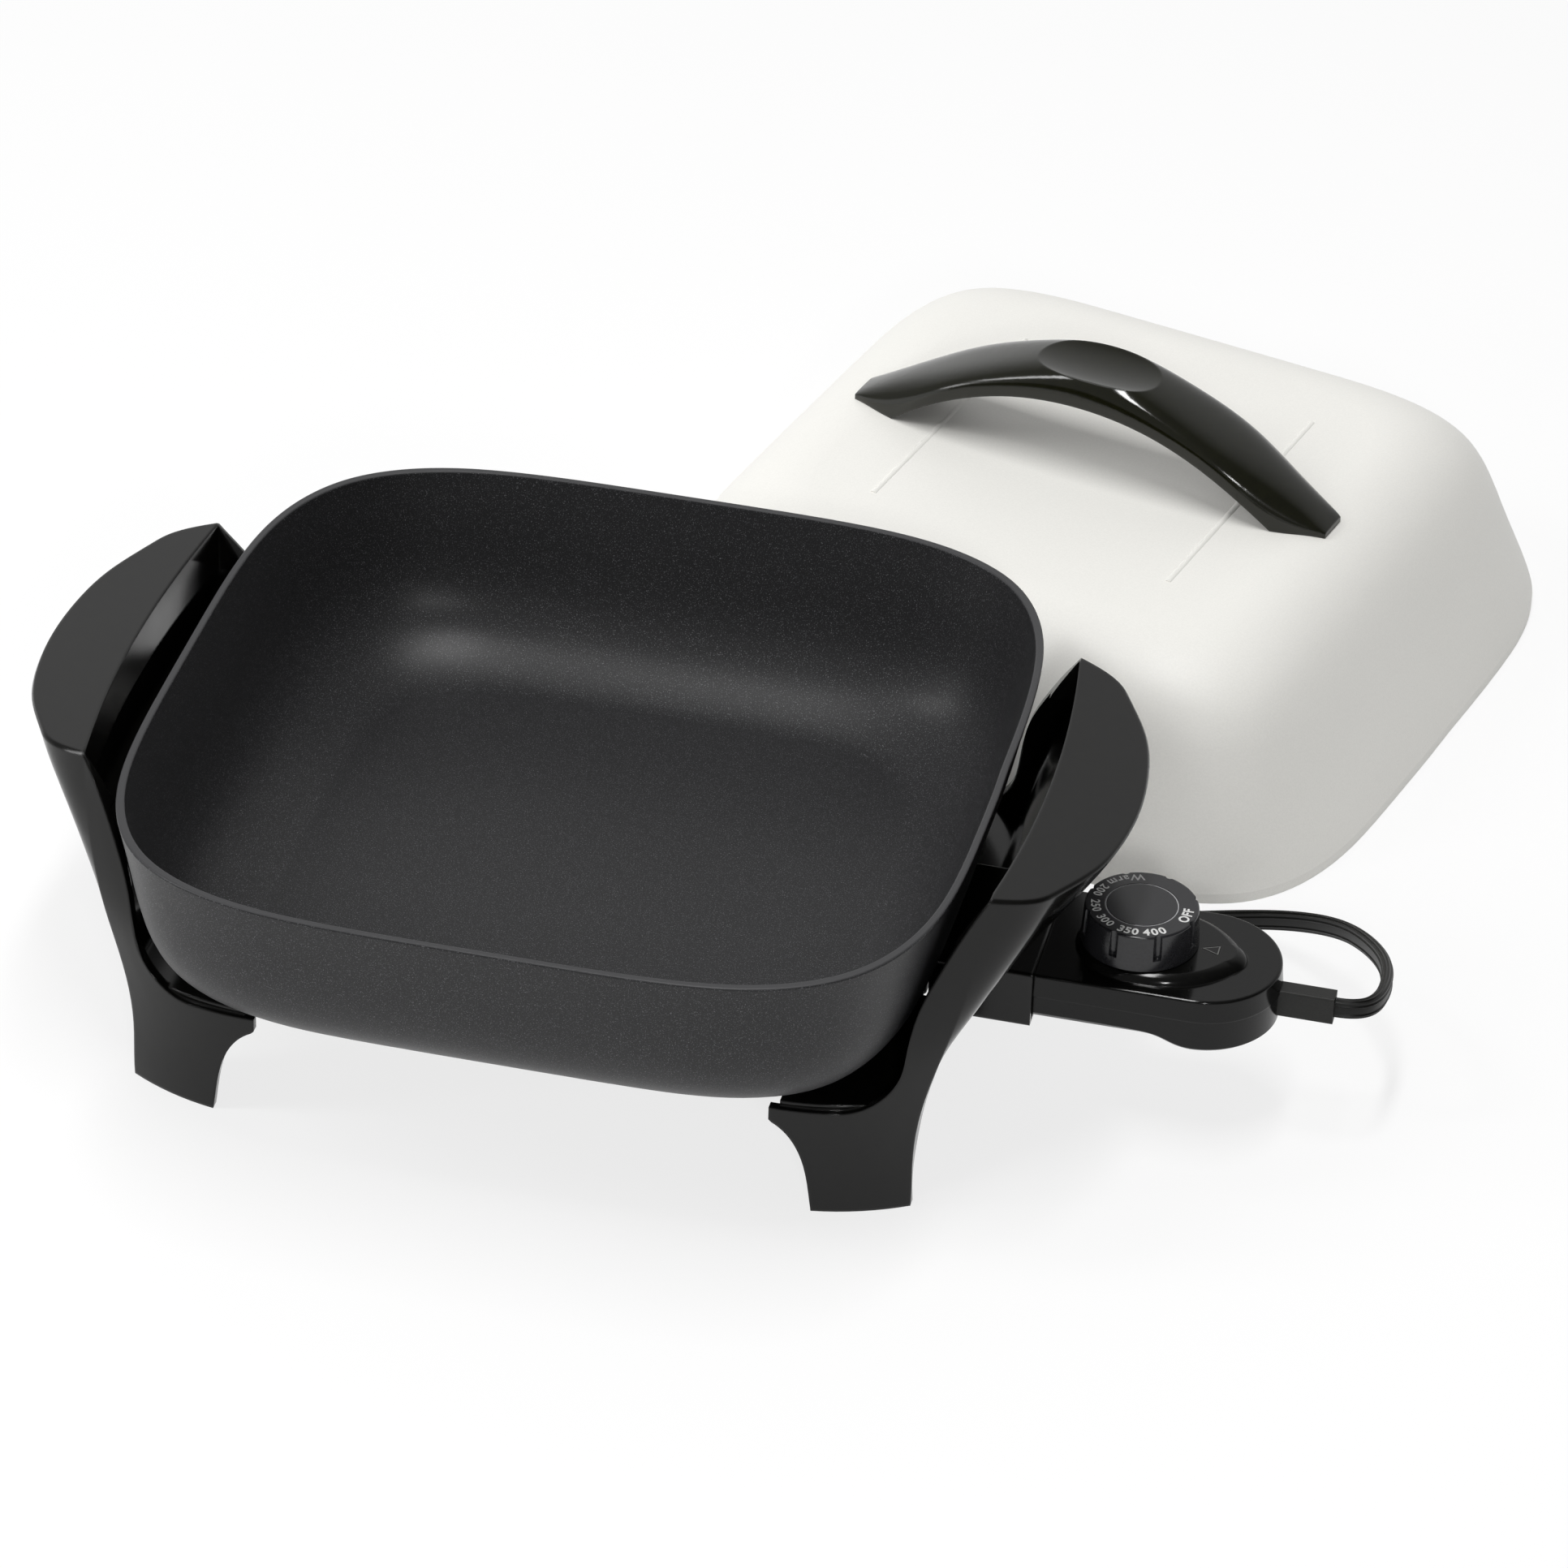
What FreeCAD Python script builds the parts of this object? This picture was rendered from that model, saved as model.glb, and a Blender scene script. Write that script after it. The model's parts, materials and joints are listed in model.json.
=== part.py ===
import FreeCAD, Part
import math
import os

# Electric skillet with a lift-off dome lid and a plug-in heat control.
# Millimetres. Z = 0 is the table, the pan stands centred on X = Y = 0,
# the heat control plugs into its +X side and the lid lies flat behind it.

Vector = FreeCAD.Vector
Z_AXIS = Vector(0, 0, 1)

# ---------------------------------------------------------------- pan
RIM_HALF = 145.0            # half width over the rim
RIM_Z = 117.5               # height of the rim over the table
RIM_EXPONENT = 4.06         # 2 is a circle, larger is squarer
BASE_Z = 48.0               # underside of the pan
BASE_EXPONENT = 5.0
WALL_LEAN = 16.0            # how far the wall leans out from base to rim
BASE_RADIUS = 40.0          # round between base and wall
PAN_WALL = 2.8
PAN_FLOOR = 3.6
RIM_ROUND = 0.7
BASE_HALF = RIM_HALF - WALL_LEAN

# ---------------------------------------------------------------- heating element
ELEMENT_RADIUS = 3.3
ELEMENT_HALF = 82.0         # half width of the loop
ELEMENT_CORNER = 30.0
ELEMENT_FIT = 0.02
RIDGE_RADIUS = 5.6          # cast rib that encloses the element
TERMINAL_Z = BASE_Z - 1.0   # height of element, pins and probe
TERMINAL_Y = 16.0           # each pin's distance from the centre line
TERMINAL_BEND = 12.0
PIN_RADIUS = 2.4
INSULATOR_RADIUS = 4.2
INSULATOR_LENGTH = 5.0

BLOCK_HALF_Y = 24.0         # cast block round the probe bore
BLOCK_LENGTH = 50.0
BLOCK_DROP = 7.0            # how far the block hangs below the base
BLOCK_TOP_Z = BASE_Z + 6.0
BLOCK_ROUND = 2.0
BLOCK_END_X = BASE_HALF - 3.0

# ---------------------------------------------------------------- handle and leg mouldings
MOULDING_WALL = 3.0
FOOT_OUT = 7.6              # foot corner outside the pan's base edge
FOOT_X = BASE_HALF + FOOT_OUT
LEG_FRONT_Y = BASE_HALF - 28.7
LEG_CORNER_Y = LEG_FRONT_Y - 12.9
GRIP_RISE = 3.5             # grip height over the rim, at its inner edge
GRIP_Z = RIM_Z + GRIP_RISE
GRIP_GAP = 10.0             # grip tip outside the rim
GRIP_TIP_X = RIM_HALF + GRIP_GAP
GRIP_TIP_Y = 76.0
GRIP_DEPTH = 38.5           # bulge of the grip's outer edge past its tips
GRIP_INNER_SAG = 6.0        # bulge of the inner edge past the tips
GRIP_SLOPE = 0.15           # fall of the top face per millimetre outwards
GRIP_PLATE = 4.0
GRIP_LIP = 14.0             # turned-down inner edge
GRIP_LIP_WALL = 2.5
GRIP_EDGE_CHAMFER = 1.0
CORNER_FLARE_LOW = 20.0     # height where the legs start to lean out
GRIP_FLARE_LOW = BASE_Z + 7.0   # height where the grip starts to bulge
GRIP_FLARE_DROP = 4.5       # full bulge this far below the inner edge
GRIP_FLARE_POWER = 1.15

SHELF_TOP_Z = BASE_Z - 4.0
SHELF_THICKNESS = 3.0
BIB_TOP_Z = SHELF_TOP_Z - 2.5
BIB_INNER_X = BASE_HALF - 39.5
SHELF_INNER_X = BASE_HALF - 36.0
LEG_INNER_X = BASE_HALF - 24.0
ARCH_HALF = LEG_CORNER_Y - 3.4
ARCH_LEAN = 4.0             # the arch narrows by this on each side at its top
ARCH_TOP_Z = SHELF_TOP_Z - SHELF_THICKNESS - 1.5
ARCH_RADIUS = 9.0

BOSS_RADIUS = 5.5
BOSS_X = BASE_HALF - 23.0
BOSS_Y = 60.0
SCREW_RADIUS = 2.0
SCREW_HEAD_RADIUS = 4.0
SCREW_HEAD = 2.4
SCREW_BITE = 5.0
SCREW_CLEARANCE = 0.3

# ---------------------------------------------------------------- heat control
CONTROL_HALF_Y = 27.3
CONTROL_TOP_Z = BASE_Z + 10.6
CONTROL_NECK = 16.9         # thickness at the nose
CONTROL_BELLY = 4.0         # how far the round end hangs below the nose
NOSE_X = BASE_HALF + 4.5
CONTROL_LENGTH = 83.7       # nose to the centre of the round end
CONTROL_END_X = NOSE_X + CONTROL_LENGTH
BELLY_START = 17.0          # belly step, back from the round end's centre
BELLY_STEP = 19.0
PARTING_DROP = 8.4          # parting line below the top face
CONTROL_WALL = 1.8
CONTROL_DRAFT = 0.7
CONTROL_ROUND = 1.0
BELLY_CHAMFER = 1.2
POST_RADIUS = 3.0           # screw posts inside the housing
CONTROL_SCREW = 1.3
CONTROL_SCREW_HEAD = 2.4
HEAD_SINK = 2.2             # counterbore that each head sits in

SHROUD_WALL = 1.8
SHROUD_FIT_Y = 0.9
SHROUD_FIT_Z = 0.5
SHROUD_DEPTH = 30.0         # how far the shroud covers the nose
SHROUD_END_X = NOSE_X + SHROUD_DEPTH
SHROUD_START_X = BLOCK_END_X + 2.0
SHROUD_ROUND = 1.0

PROBE_RADIUS = 3.175
PROBE_LENGTH = 50.0
PROBE_FIT = 0.12
PROBE_ROOT = 10.6           # length held inside the control
PROBE_CLEARANCE = 0.3
PIN_CLEARANCE = 0.8
RECEPTACLE_LENGTH = 20.0
RECEPTACLE_WALL = 0.8
RECEPTACLE_FIT = 0.06
PIN_REACH = 17.0            # how far each pin enters the control
NOSE_BLOCK = 22.0           # length of the insulator behind the nose
NOSE_BORE_DEPTH = CONTROL_WALL + CONTROL_DRAFT + 0.5

DIAL_RADIUS = 19.5
DIAL_HEIGHT = 13.6
DIAL_DRAFT = 0.8
DIAL_BACK = 22.7            # dial centre, back from the round end's centre
DIAL_X = CONTROL_END_X - DIAL_BACK
DIAL_SKIN = 2.0
DIAL_TOP_SKIN = 2.4
DIAL_ROUND = 0.8
DIAL_HUB_WALL = 2.2
DIAL_FLUTES = 8
FLUTE_RADIUS = 1.5
FLUTE_PHASE = 27.5          # degrees from the pointer to the first flute
FLUTE_STOP = 4.0            # flutes end this far above the bottom
DIAL_RING_RADIUS = 12.6
DIAL_RING_WIDTH = 0.5
DIAL_RING_DEPTH = 0.3
DOME_RISE = 3.3
DOME_LENGTH = 38.0          # dial centre to the dome's tip
DOME_HALF = 22.0
DOME_SLOPE = 4.5
DIAL_GAP = 0.3
SHAFT_RADIUS = 3.0
SHAFT_FIT = 0.08
CAM_RADIUS = 7.0
CAM_THICKNESS = 2.5
LENS_HALF = 2.6
LENS_PROUD = 0.4
LENS_FIT = 0.05
LAMP_RADIUS = 2.4

STRAIN_LENGTH = 18.5
STRAIN_WIDTH = 6.8
STRAIN_HEIGHT = 10.5
STRAIN_ROOT = 4.0           # length held inside the housing
STRAIN_BORE = 2.0
STRAIN_END = 6.0            # solid length at the free end, round the cord's start
STRAIN_ROUND = 0.8
CORD_RADIUS = 3.8
CORD_Z = CONTROL_TOP_Z - 12.2

PLUG_LENGTH = 30.0
PLUG_WIDTH = 24.0
PLUG_THICKNESS = 14.0
PLUG_ROUND = 3.0
BLADE_LENGTH = 16.0
BLADE_WIDTH = 6.4
BLADE_THICKNESS = 1.5
BLADE_PITCH = 12.7

# ---------------------------------------------------------------- lid
LID_FIT = 0.3               # lid lip over the pan's rim
LID_WALL = 1.3
LID_HALF = RIM_HALF + LID_FIT + LID_WALL
LID_HEIGHT = 79.5
LID_LEAN = 31.2             # how far the wall leans in
LID_SHOULDER = 41.5
LID_LIP = 4.0
LID_RIM_EXPONENT = 4.8
LID_TOP_EXPONENT = 6.2
LID_SHIFT = 122.9           # lid centre, to the right of the pan's centre
LID_BACK = -19.2            # lid overlap behind the pan, as it is turned and the pan leans
LID_CENTRE = Vector(LID_SHIFT, RIM_HALF + LID_HALF + LID_BACK, 0)
LID_YAW = -14.2             # degrees about Z, seen from above
CREASE_X = 60.0             # raised crease lines on the top
CREASE_HALF = 64.0
CREASE_WIDTH = 1.6
CREASE_RISE = 0.5

HANDLE_HALF = 97.0
HANDLE_WIDTH = 33.2
HANDLE_TIP_WIDTH = 14.0
HANDLE_TAPER = 60.0         # the width narrows from here to each end
HANDLE_RISE = 43.8          # crown of the arch over the lid
HANDLE_OPENING = 29.7       # underside of the arch over the lid
HANDLE_FOOT = 19.0          # length of each foot on the lid
HANDLE_STRIP = 3.4          # upright strip under the ridge line
HANDLE_TIP = 1.4            # height of each end over the lid
HANDLE_CROWN_POWER = 1.55
HANDLE_SECTION_EXPONENT = 2.6
HANDLE_SKIN = 3.2
HANDLE_TOP_SKIN = 8.0
HANDLE_GAP = 0.1
DIMPLE_LENGTH = 44.0
DIMPLE_WIDTH = 17.5
DIMPLE_DEPTH = 5.6
HANDLE_SCREW_X = 84.5
HANDLE_BOSS_RADIUS = 4.6
LID_SCREW_RADIUS = 1.9
LID_SCREW_HEAD = 4.4
LID_WASHER_RADIUS = 5.0
LID_WASHER_THICKNESS = 0.8
LID_WASHER_GAP = 0.3        # washer under the lid, where the shoulder starts to fall
LID_SCREW_HEAD_HEIGHT = 2.2
LID_SCREW_BITE = 5.0

FACE_GAP = 0.05             # between faces of fixed neighbours
SECTION_POINTS = 32         # points round one rounded-square section
FAR = 400.0                 # longer than anything it cuts


# ---------------------------------------------------------------- helpers
def smooth_step(t):
    t = min(max(t, 0.0), 1.0)
    return t * t * (3.0 - 2.0 * t)


def box(x0, x1, y0, y1, z0, z1):
    return Part.makeBox(x1 - x0, y1 - y0, z1 - z0, Vector(x0, y0, z0))


def cylinder(radius, start, end):
    axis = end - start
    return Part.makeCylinder(radius, axis.Length, start, axis)


def joined(shapes):
    result = shapes[0].fuse(shapes[1:]) if len(shapes) > 1 else shapes[0]
    return result.removeSplitter()


def prism(edges, direction):
    return Part.Face(Part.Wire(edges)).extrude(direction)


def polygon(points):
    return Part.makePolygon(points + [points[0]]).Edges


def curve_through(points):
    curve = Part.BSplineCurve()
    curve.interpolate(points)
    return curve.toShape()


def rounded_square(half, exponent, z):
    """Closed curve |x|^n + |y|^n = half^n at height z."""
    points = []
    steps = range(SECTION_POINTS)
    for step in steps:
        angle = 2 * math.pi * step / SECTION_POINTS
        c = math.cos(angle)
        s = math.sin(angle)
        reach = half / (abs(c) ** exponent + abs(s) ** exponent) ** (1 / exponent)
        points.append(Vector(reach * c, reach * s, z))
    knots = [step / SECTION_POINTS for step in range(SECTION_POINTS + 1)]
    curve = Part.BSplineCurve()
    curve.interpolate(Points=points, PeriodicFlag=True, Parameters=knots)
    return Part.Wire([curve.toShape()])


def bowl(base_half, base_z, rim_half, rim_z, radius, base_exponent, rim_exponent, extra=0.0):
    """Solid bowl: flat base, round of the given radius, leaning wall up to rim_z + extra."""
    rise = rim_z - base_z
    lean = rim_half - base_half
    wall_angle = math.atan2(rise, lean)
    setback = radius * math.tan(wall_angle / 2)
    stations = []
    for step in range(5):
        turn = wall_angle * step / 4
        half = base_half - setback + radius * math.sin(turn)
        stations.append((half, base_z + radius * (1 - math.cos(turn))))
    round_top_half, round_top_z = stations[-1]
    for share in (0.5, 1.0):
        half = round_top_half + (rim_half - round_top_half) * share
        stations.append((half, round_top_z + (rim_z - round_top_z) * share))
    if extra:
        stations.append((rim_half + extra * lean / rise, rim_z + extra))
    wires = []
    for half, z in stations:
        share = (z - base_z) / rise
        exponent = base_exponent + (rim_exponent - base_exponent) * share
        wires.append(rounded_square(half, exponent, z))
    return Part.makeLoft(wires, True)


def swept_tube(points, radii, tube_radius):
    """Straight runs joined by tangent arcs, one radius for each inner point."""
    edges = []
    start = points[0]
    for index in range(1, len(points) - 1):
        corner = points[index]
        arrive = (corner - points[index - 1]).normalize()
        leave = (points[index + 1] - corner).normalize()
        turn = arrive.getAngle(leave)
        setback = radii[index - 1] * math.tan(turn / 2)
        tangent_in = corner - arrive * setback
        tangent_out = corner + leave * setback
        inwards = (leave - arrive).normalize()
        to_mid = radii[index - 1] * (1 / math.cos(turn / 2) - 1)
        edges.append(Part.LineSegment(start, tangent_in).toShape())
        edges.append(Part.Arc(tangent_in, corner + inwards * to_mid, tangent_out).toShape())
        start = tangent_out
    edges.append(Part.LineSegment(start, points[-1]).toShape())
    path = Part.Wire(edges)
    section = Part.Wire([Part.Circle(points[0], points[1] - points[0], tube_radius).toShape()])
    return path.makePipeShell([section], True, False)


# ---------------------------------------------------------------- pan and element
def element_route(start_x, end_reach):
    """Open loop under the base, both ends leading out along +X."""
    half = ELEMENT_HALF
    y = TERMINAL_Y
    z = TERMINAL_Z
    return [
        Vector(start_x + end_reach, -y, z), Vector(half, -y, z), Vector(half, -half, z),
        Vector(-half, -half, z), Vector(-half, half, z), Vector(half, half, z),
        Vector(half, y, z), Vector(start_x + end_reach, y, z),
    ]


def element_solid(radius, reach):
    radii = [TERMINAL_BEND] + [ELEMENT_CORNER] * 4 + [TERMINAL_BEND]
    return swept_tube(element_route(BLOCK_END_X, reach), radii, radius)


def boss_places():
    return [(BOSS_X, -BOSS_Y), (BOSS_X, BOSS_Y), (-BOSS_X, -BOSS_Y), (-BOSS_X, BOSS_Y)]


def make_pan():
    outer = bowl(BASE_HALF, BASE_Z, RIM_HALF, RIM_Z, BASE_RADIUS, BASE_EXPONENT, RIM_EXPONENT)
    inner = bowl(BASE_HALF - PAN_WALL, BASE_Z + PAN_FLOOR, RIM_HALF - PAN_WALL, RIM_Z,
                 BASE_RADIUS - PAN_WALL, BASE_EXPONENT, RIM_EXPONENT, extra=4.0)
    ridge = element_solid(RIDGE_RADIUS, -RIDGE_RADIUS)
    block = box(BLOCK_END_X - BLOCK_LENGTH, BLOCK_END_X, -BLOCK_HALF_Y, BLOCK_HALF_Y,
                BASE_Z - BLOCK_DROP, BLOCK_TOP_Z)
    upright = [e for e in block.Edges if e.BoundBox.ZLength > 1]
    block = block.makeFillet(BLOCK_ROUND, upright)
    bosses = []
    for x, y in boss_places():
        bosses.append(cylinder(BOSS_RADIUS, Vector(x, y, SHELF_TOP_Z), Vector(x, y, BASE_Z + 8)))
    pan = outer.fuse([ridge, block] + bosses)
    pan = pan.cut(inner)
    rim_edges = [e for e in pan.Edges if e.BoundBox.ZMin > RIM_Z - 0.1]
    pan = pan.makeFillet(RIM_ROUND, rim_edges)
    cuts = [element_solid(ELEMENT_RADIUS + ELEMENT_FIT, 1.0)]
    for side in (-1, 1):
        seat = Vector(BLOCK_END_X - INSULATOR_LENGTH, side * TERMINAL_Y, TERMINAL_Z)
        cuts.append(cylinder(INSULATOR_RADIUS + ELEMENT_FIT, seat, seat + Vector(INSULATOR_LENGTH + 1, 0, 0)))
    tip_x = NOSE_X - PROBE_LENGTH - 1.0
    cuts.append(cylinder(PROBE_RADIUS + PROBE_FIT, Vector(tip_x, 0, TERMINAL_Z),
                         Vector(BLOCK_END_X + 1, 0, TERMINAL_Z)))
    for x, y in boss_places():
        cuts.append(cylinder(SCREW_RADIUS + ELEMENT_FIT, Vector(x, y, SHELF_TOP_Z - 1),
                             Vector(x, y, SHELF_TOP_Z + SCREW_BITE)))
    return pan.cut(cuts)


def make_heating_element():
    return element_solid(ELEMENT_RADIUS, -INSULATOR_LENGTH - FACE_GAP)


def make_terminal_pins():
    pins = []
    for side in (-1, 1):
        start = Vector(BLOCK_END_X - INSULATOR_LENGTH, side * TERMINAL_Y, TERMINAL_Z)
        end = Vector(NOSE_X + PIN_REACH, side * TERMINAL_Y, TERMINAL_Z)
        pin = cylinder(PIN_RADIUS, start, end)
        tip = [e for e in pin.Edges if e.BoundBox.XMin > end.x - 0.1]
        pins.append(pin.makeChamfer(1.0, tip))
    return Part.makeCompound(pins)


def make_terminal_insulators():
    rings = []
    for side in (-1, 1):
        start = Vector(BLOCK_END_X - INSULATOR_LENGTH, side * TERMINAL_Y, TERMINAL_Z)
        end = start + Vector(INSULATOR_LENGTH + 1.0, 0, 0)
        ring = cylinder(INSULATOR_RADIUS, start, end)
        rings.append(ring.cut(cylinder(PIN_RADIUS + ELEMENT_FIT, start, end)))
    return Part.makeCompound(rings)


# ---------------------------------------------------------------- handle and leg mouldings
def skirt_corner(z):
    """Outer corner of the moulding's plan section, where leg front meets side."""
    lean = smooth_step((z - CORNER_FLARE_LOW) / (GRIP_Z - 6.0 - CORNER_FLARE_LOW))
    narrow = smooth_step((z - BASE_Z - 12.0) / (GRIP_Z - BASE_Z - 12.0))
    x = FOOT_X + (GRIP_TIP_X - FOOT_X) * lean
    y = LEG_CORNER_Y + (GRIP_TIP_Y - LEG_CORNER_Y) * narrow
    return x, y


def skirt_section(z, inset):
    """Half-ring plan section: leg front, side with the grip's bulge, leg back, open inner side."""
    x, y = skirt_corner(z)
    x -= inset
    y -= inset
    flare_rise = GRIP_Z - GRIP_FLARE_DROP - GRIP_FLARE_LOW
    flare = max(0.0, (z - GRIP_FLARE_LOW) / flare_rise) ** GRIP_FLARE_POWER
    bulge = GRIP_DEPTH * min(flare, 1.0)
    inner_x = BIB_INNER_X - 6.0
    shares = (-1.0, -0.94, -0.8, -0.55, -0.28, 0.0, 0.28, 0.55, 0.8, 0.94, 1.0)
    side = Part.BSplineCurve()
    points = [Vector(x + bulge * (1 - t * t) ** 0.6, y * t, z) for t in shares]
    side.interpolate(Points=points, Parameters=[(t + 1) / 2 for t in shares])
    front_y = LEG_FRONT_Y - inset
    front = Part.Arc(Vector(inner_x, -front_y, z), Vector(x - 20.0, -y - 9.0, z), Vector(x, -y, z))
    back = Part.Arc(Vector(x, y, z), Vector(x - 20.0, y + 9.0, z), Vector(inner_x, front_y, z))
    close = Part.LineSegment(Vector(inner_x, front_y, z), Vector(inner_x, -front_y, z))
    return Part.Wire([front.toShape(), side.toShape(), back.toShape(), close.toShape()])


def skirt_loft(inset, low_z, high_z):
    heights = [low_z, 22.0, 40.0, 55.0, 70.0, 85.0, 100.0, 111.0, high_z]
    scale = GRIP_Z / 121.0
    wires = [skirt_section(low_z, inset)]
    for height in heights[1:-1]:
        wires.append(skirt_section(height * scale, inset))
    wires.append(skirt_section(high_z, inset))
    return Part.makeLoft(wires, True)


def above_grip(drop):
    """Everything above the grip's sloping top face, lowered by drop."""
    reference_x = RIM_HALF + 15.0
    z_in = GRIP_Z - drop + GRIP_SLOPE * (reference_x - BIB_INNER_X + 60.0)
    z_out = GRIP_Z - drop - GRIP_SLOPE * 60.0
    corners = [
        Vector(BIB_INNER_X - 60.0, -FAR, z_in), Vector(reference_x + 60.0, -FAR, z_out),
        Vector(reference_x + 60.0, -FAR, z_in + FAR), Vector(BIB_INNER_X - 60.0, -FAR, z_in + FAR),
    ]
    return prism(polygon(corners), Vector(0, 2 * FAR, 0))


def pan_side_cut():
    """Clears the pan: its front view edge runs up beside the wall to the grip's tips."""
    wall_slope = WALL_LEAN / (RIM_Z - BASE_Z)
    rise = GRIP_Z - BIB_TOP_Z
    shape = ((0.0, -14.5), (0.06, -3.5), (0.17, 0.9), (0.32, 0.5), (0.53, -0.2), (0.72, 2.7), (0.87, 6.0),
             (1.0, 9.7), (1.06, 11.2))
    points = []
    for share, gap in shape:
        z = BIB_TOP_Z + rise * share
        points.append(Vector(BASE_HALF + (z - BASE_Z) * wall_slope + gap, -FAR, z))
    over_z = points[-1].z + 60.0
    edges = [curve_through(points)]
    edges += Part.makePolygon([points[-1], Vector(points[-1].x, -FAR, over_z), Vector(0, -FAR, over_z),
                               Vector(0, -FAR, BIB_TOP_Z), points[0]]).Edges
    return prism(edges, Vector(0, 2 * FAR, 0))


def grip_inner_edge(offset, low_z):
    """Everything inside the grip's shallow inner arc."""
    half = GRIP_TIP_Y + 35.0
    reach = GRIP_INNER_SAG * (half / GRIP_TIP_Y) ** 2
    crown_x = GRIP_TIP_X + GRIP_INNER_SAG + offset
    arc = Part.Arc(Vector(crown_x - reach, -half, low_z), Vector(crown_x, 0, low_z),
                   Vector(crown_x - reach, half, low_z)).toShape()
    rest = Part.makePolygon([Vector(crown_x - reach, half, low_z), Vector(0, half, low_z),
                             Vector(0, -half, low_z), Vector(crown_x - reach, -half, low_z)]).Edges
    return prism([arc] + rest, Vector(0, 0, FAR))


def leg_gap_cut():
    """Front view space between the legs, with the cusp under the pan's edge."""
    cusp_z = BIB_TOP_Z - 6.0
    curve = curve_through([
        Vector(LEG_INNER_X, -FAR, -1.0), Vector(LEG_INNER_X - 1.5, -FAR, 10.0),
        Vector(LEG_INNER_X - 5.0, -FAR, 24.0), Vector(LEG_INNER_X - 9.5, -FAR, 31.5),
        Vector(BIB_INNER_X + 1.0, -FAR, cusp_z),
    ])
    rest = Part.makePolygon([
        Vector(BIB_INNER_X + 1.0, -FAR, cusp_z), Vector(BIB_INNER_X, -FAR, cusp_z + 1.0),
        Vector(BIB_INNER_X, -FAR, FAR), Vector(0, -FAR, FAR), Vector(0, -FAR, -1.0),
        Vector(LEG_INNER_X, -FAR, -1.0),
    ]).Edges
    return prism([curve] + rest, Vector(0, 2 * FAR, 0))


def side_arch_cut():
    """Side view space between the front and back leg."""
    x = LEG_INNER_X - 30.0
    low = -1.0
    top_half = ARCH_HALF - ARCH_LEAN
    arch = prism(polygon([Vector(x, -ARCH_HALF, low), Vector(x, -top_half, ARCH_TOP_Z),
                          Vector(x, top_half, ARCH_TOP_Z), Vector(x, ARCH_HALF, low)]), Vector(FAR, 0, 0))
    corners = [e for e in arch.Edges if e.BoundBox.XLength > 1 and e.BoundBox.ZMin > ARCH_TOP_Z - 0.1]
    return arch.makeFillet(ARCH_RADIUS, corners)


def base_shelf():
    """Plate under the pan's edge that the pan's bosses stand on."""
    low_z = SHELF_TOP_Z - SHELF_THICKNESS
    slab = box(SHELF_INNER_X, FOOT_X + 20.0, -LEG_FRONT_Y, LEG_FRONT_Y, low_z, SHELF_TOP_Z)
    shelf = slab.common(skirt_loft(MOULDING_WALL / 2, -2.0, GRIP_Z + 8.0))
    half_y = BLOCK_HALF_Y + 3.0
    notch = box(0, SHROUD_START_X, -half_y, half_y, low_z - 1, SHELF_TOP_Z + 1)
    return shelf.cut(notch)


def shroud_box(margin_y, margin_z, start_x, end_x):
    low_z = CONTROL_TOP_Z - CONTROL_NECK
    return box(start_x, end_x, -CONTROL_HALF_Y - margin_y, CONTROL_HALF_Y + margin_y,
               low_z - margin_z, CONTROL_TOP_Z + margin_z)


def make_moulding(with_shroud):
    """The +X moulding: two legs, skirt, crescent grip and, if asked, the control's shroud."""
    shell = skirt_loft(0.0, 0.0, GRIP_Z + 8.0)
    shell = shell.cut(above_grip(0.0))
    rim = []
    for edge in shell.Edges:
        if edge.BoundBox.XMax > GRIP_TIP_X + 0.8 * GRIP_DEPTH and edge.BoundBox.ZMin > BASE_Z:
            rim.append(edge)
    shell = shell.makeChamfer(GRIP_EDGE_CHAMFER, rim)
    cavity = skirt_loft(MOULDING_WALL, -2.0, GRIP_Z + 8.0)
    cavity = cavity.cut(above_grip(GRIP_PLATE))
    lip = cavity.common(grip_inner_edge(GRIP_LIP_WALL, GRIP_Z - GRIP_PLATE - GRIP_LIP))
    shell = shell.cut(cavity.cut(lip))
    shell = shell.cut(grip_inner_edge(0.0, GRIP_Z - GRIP_PLATE - GRIP_LIP - 1.0).common(
        box(0, FAR, -GRIP_TIP_Y + 2.0, GRIP_TIP_Y - 2.0, 0, FAR)))
    shell = shell.cut([pan_side_cut(), leg_gap_cut()])
    shell = shell.fuse(base_shelf())
    if with_shroud:
        hood = shroud_box(SHROUD_FIT_Y + SHROUD_WALL, SHROUD_FIT_Z + SHROUD_WALL,
                          SHROUD_START_X, SHROUD_END_X)
        long_edges = [e for e in hood.Edges if e.BoundBox.XLength > 1]
        shell = shell.fuse(hood.makeFillet(SHROUD_ROUND, long_edges))
    shell = shell.cut(side_arch_cut())
    if with_shroud:
        shell = shell.cut(shroud_box(SHROUD_FIT_Y, SHROUD_FIT_Z, BLOCK_END_X, SHROUD_END_X + 1))
    holes = []
    for side in (-1, 1):
        low = Vector(BOSS_X, side * BOSS_Y, SHELF_TOP_Z - SHELF_THICKNESS - 1)
        holes.append(cylinder(SCREW_RADIUS + SCREW_CLEARANCE, low, low + Vector(0, 0, SHELF_THICKNESS + 2)))
    return shell.cut(holes)


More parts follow.
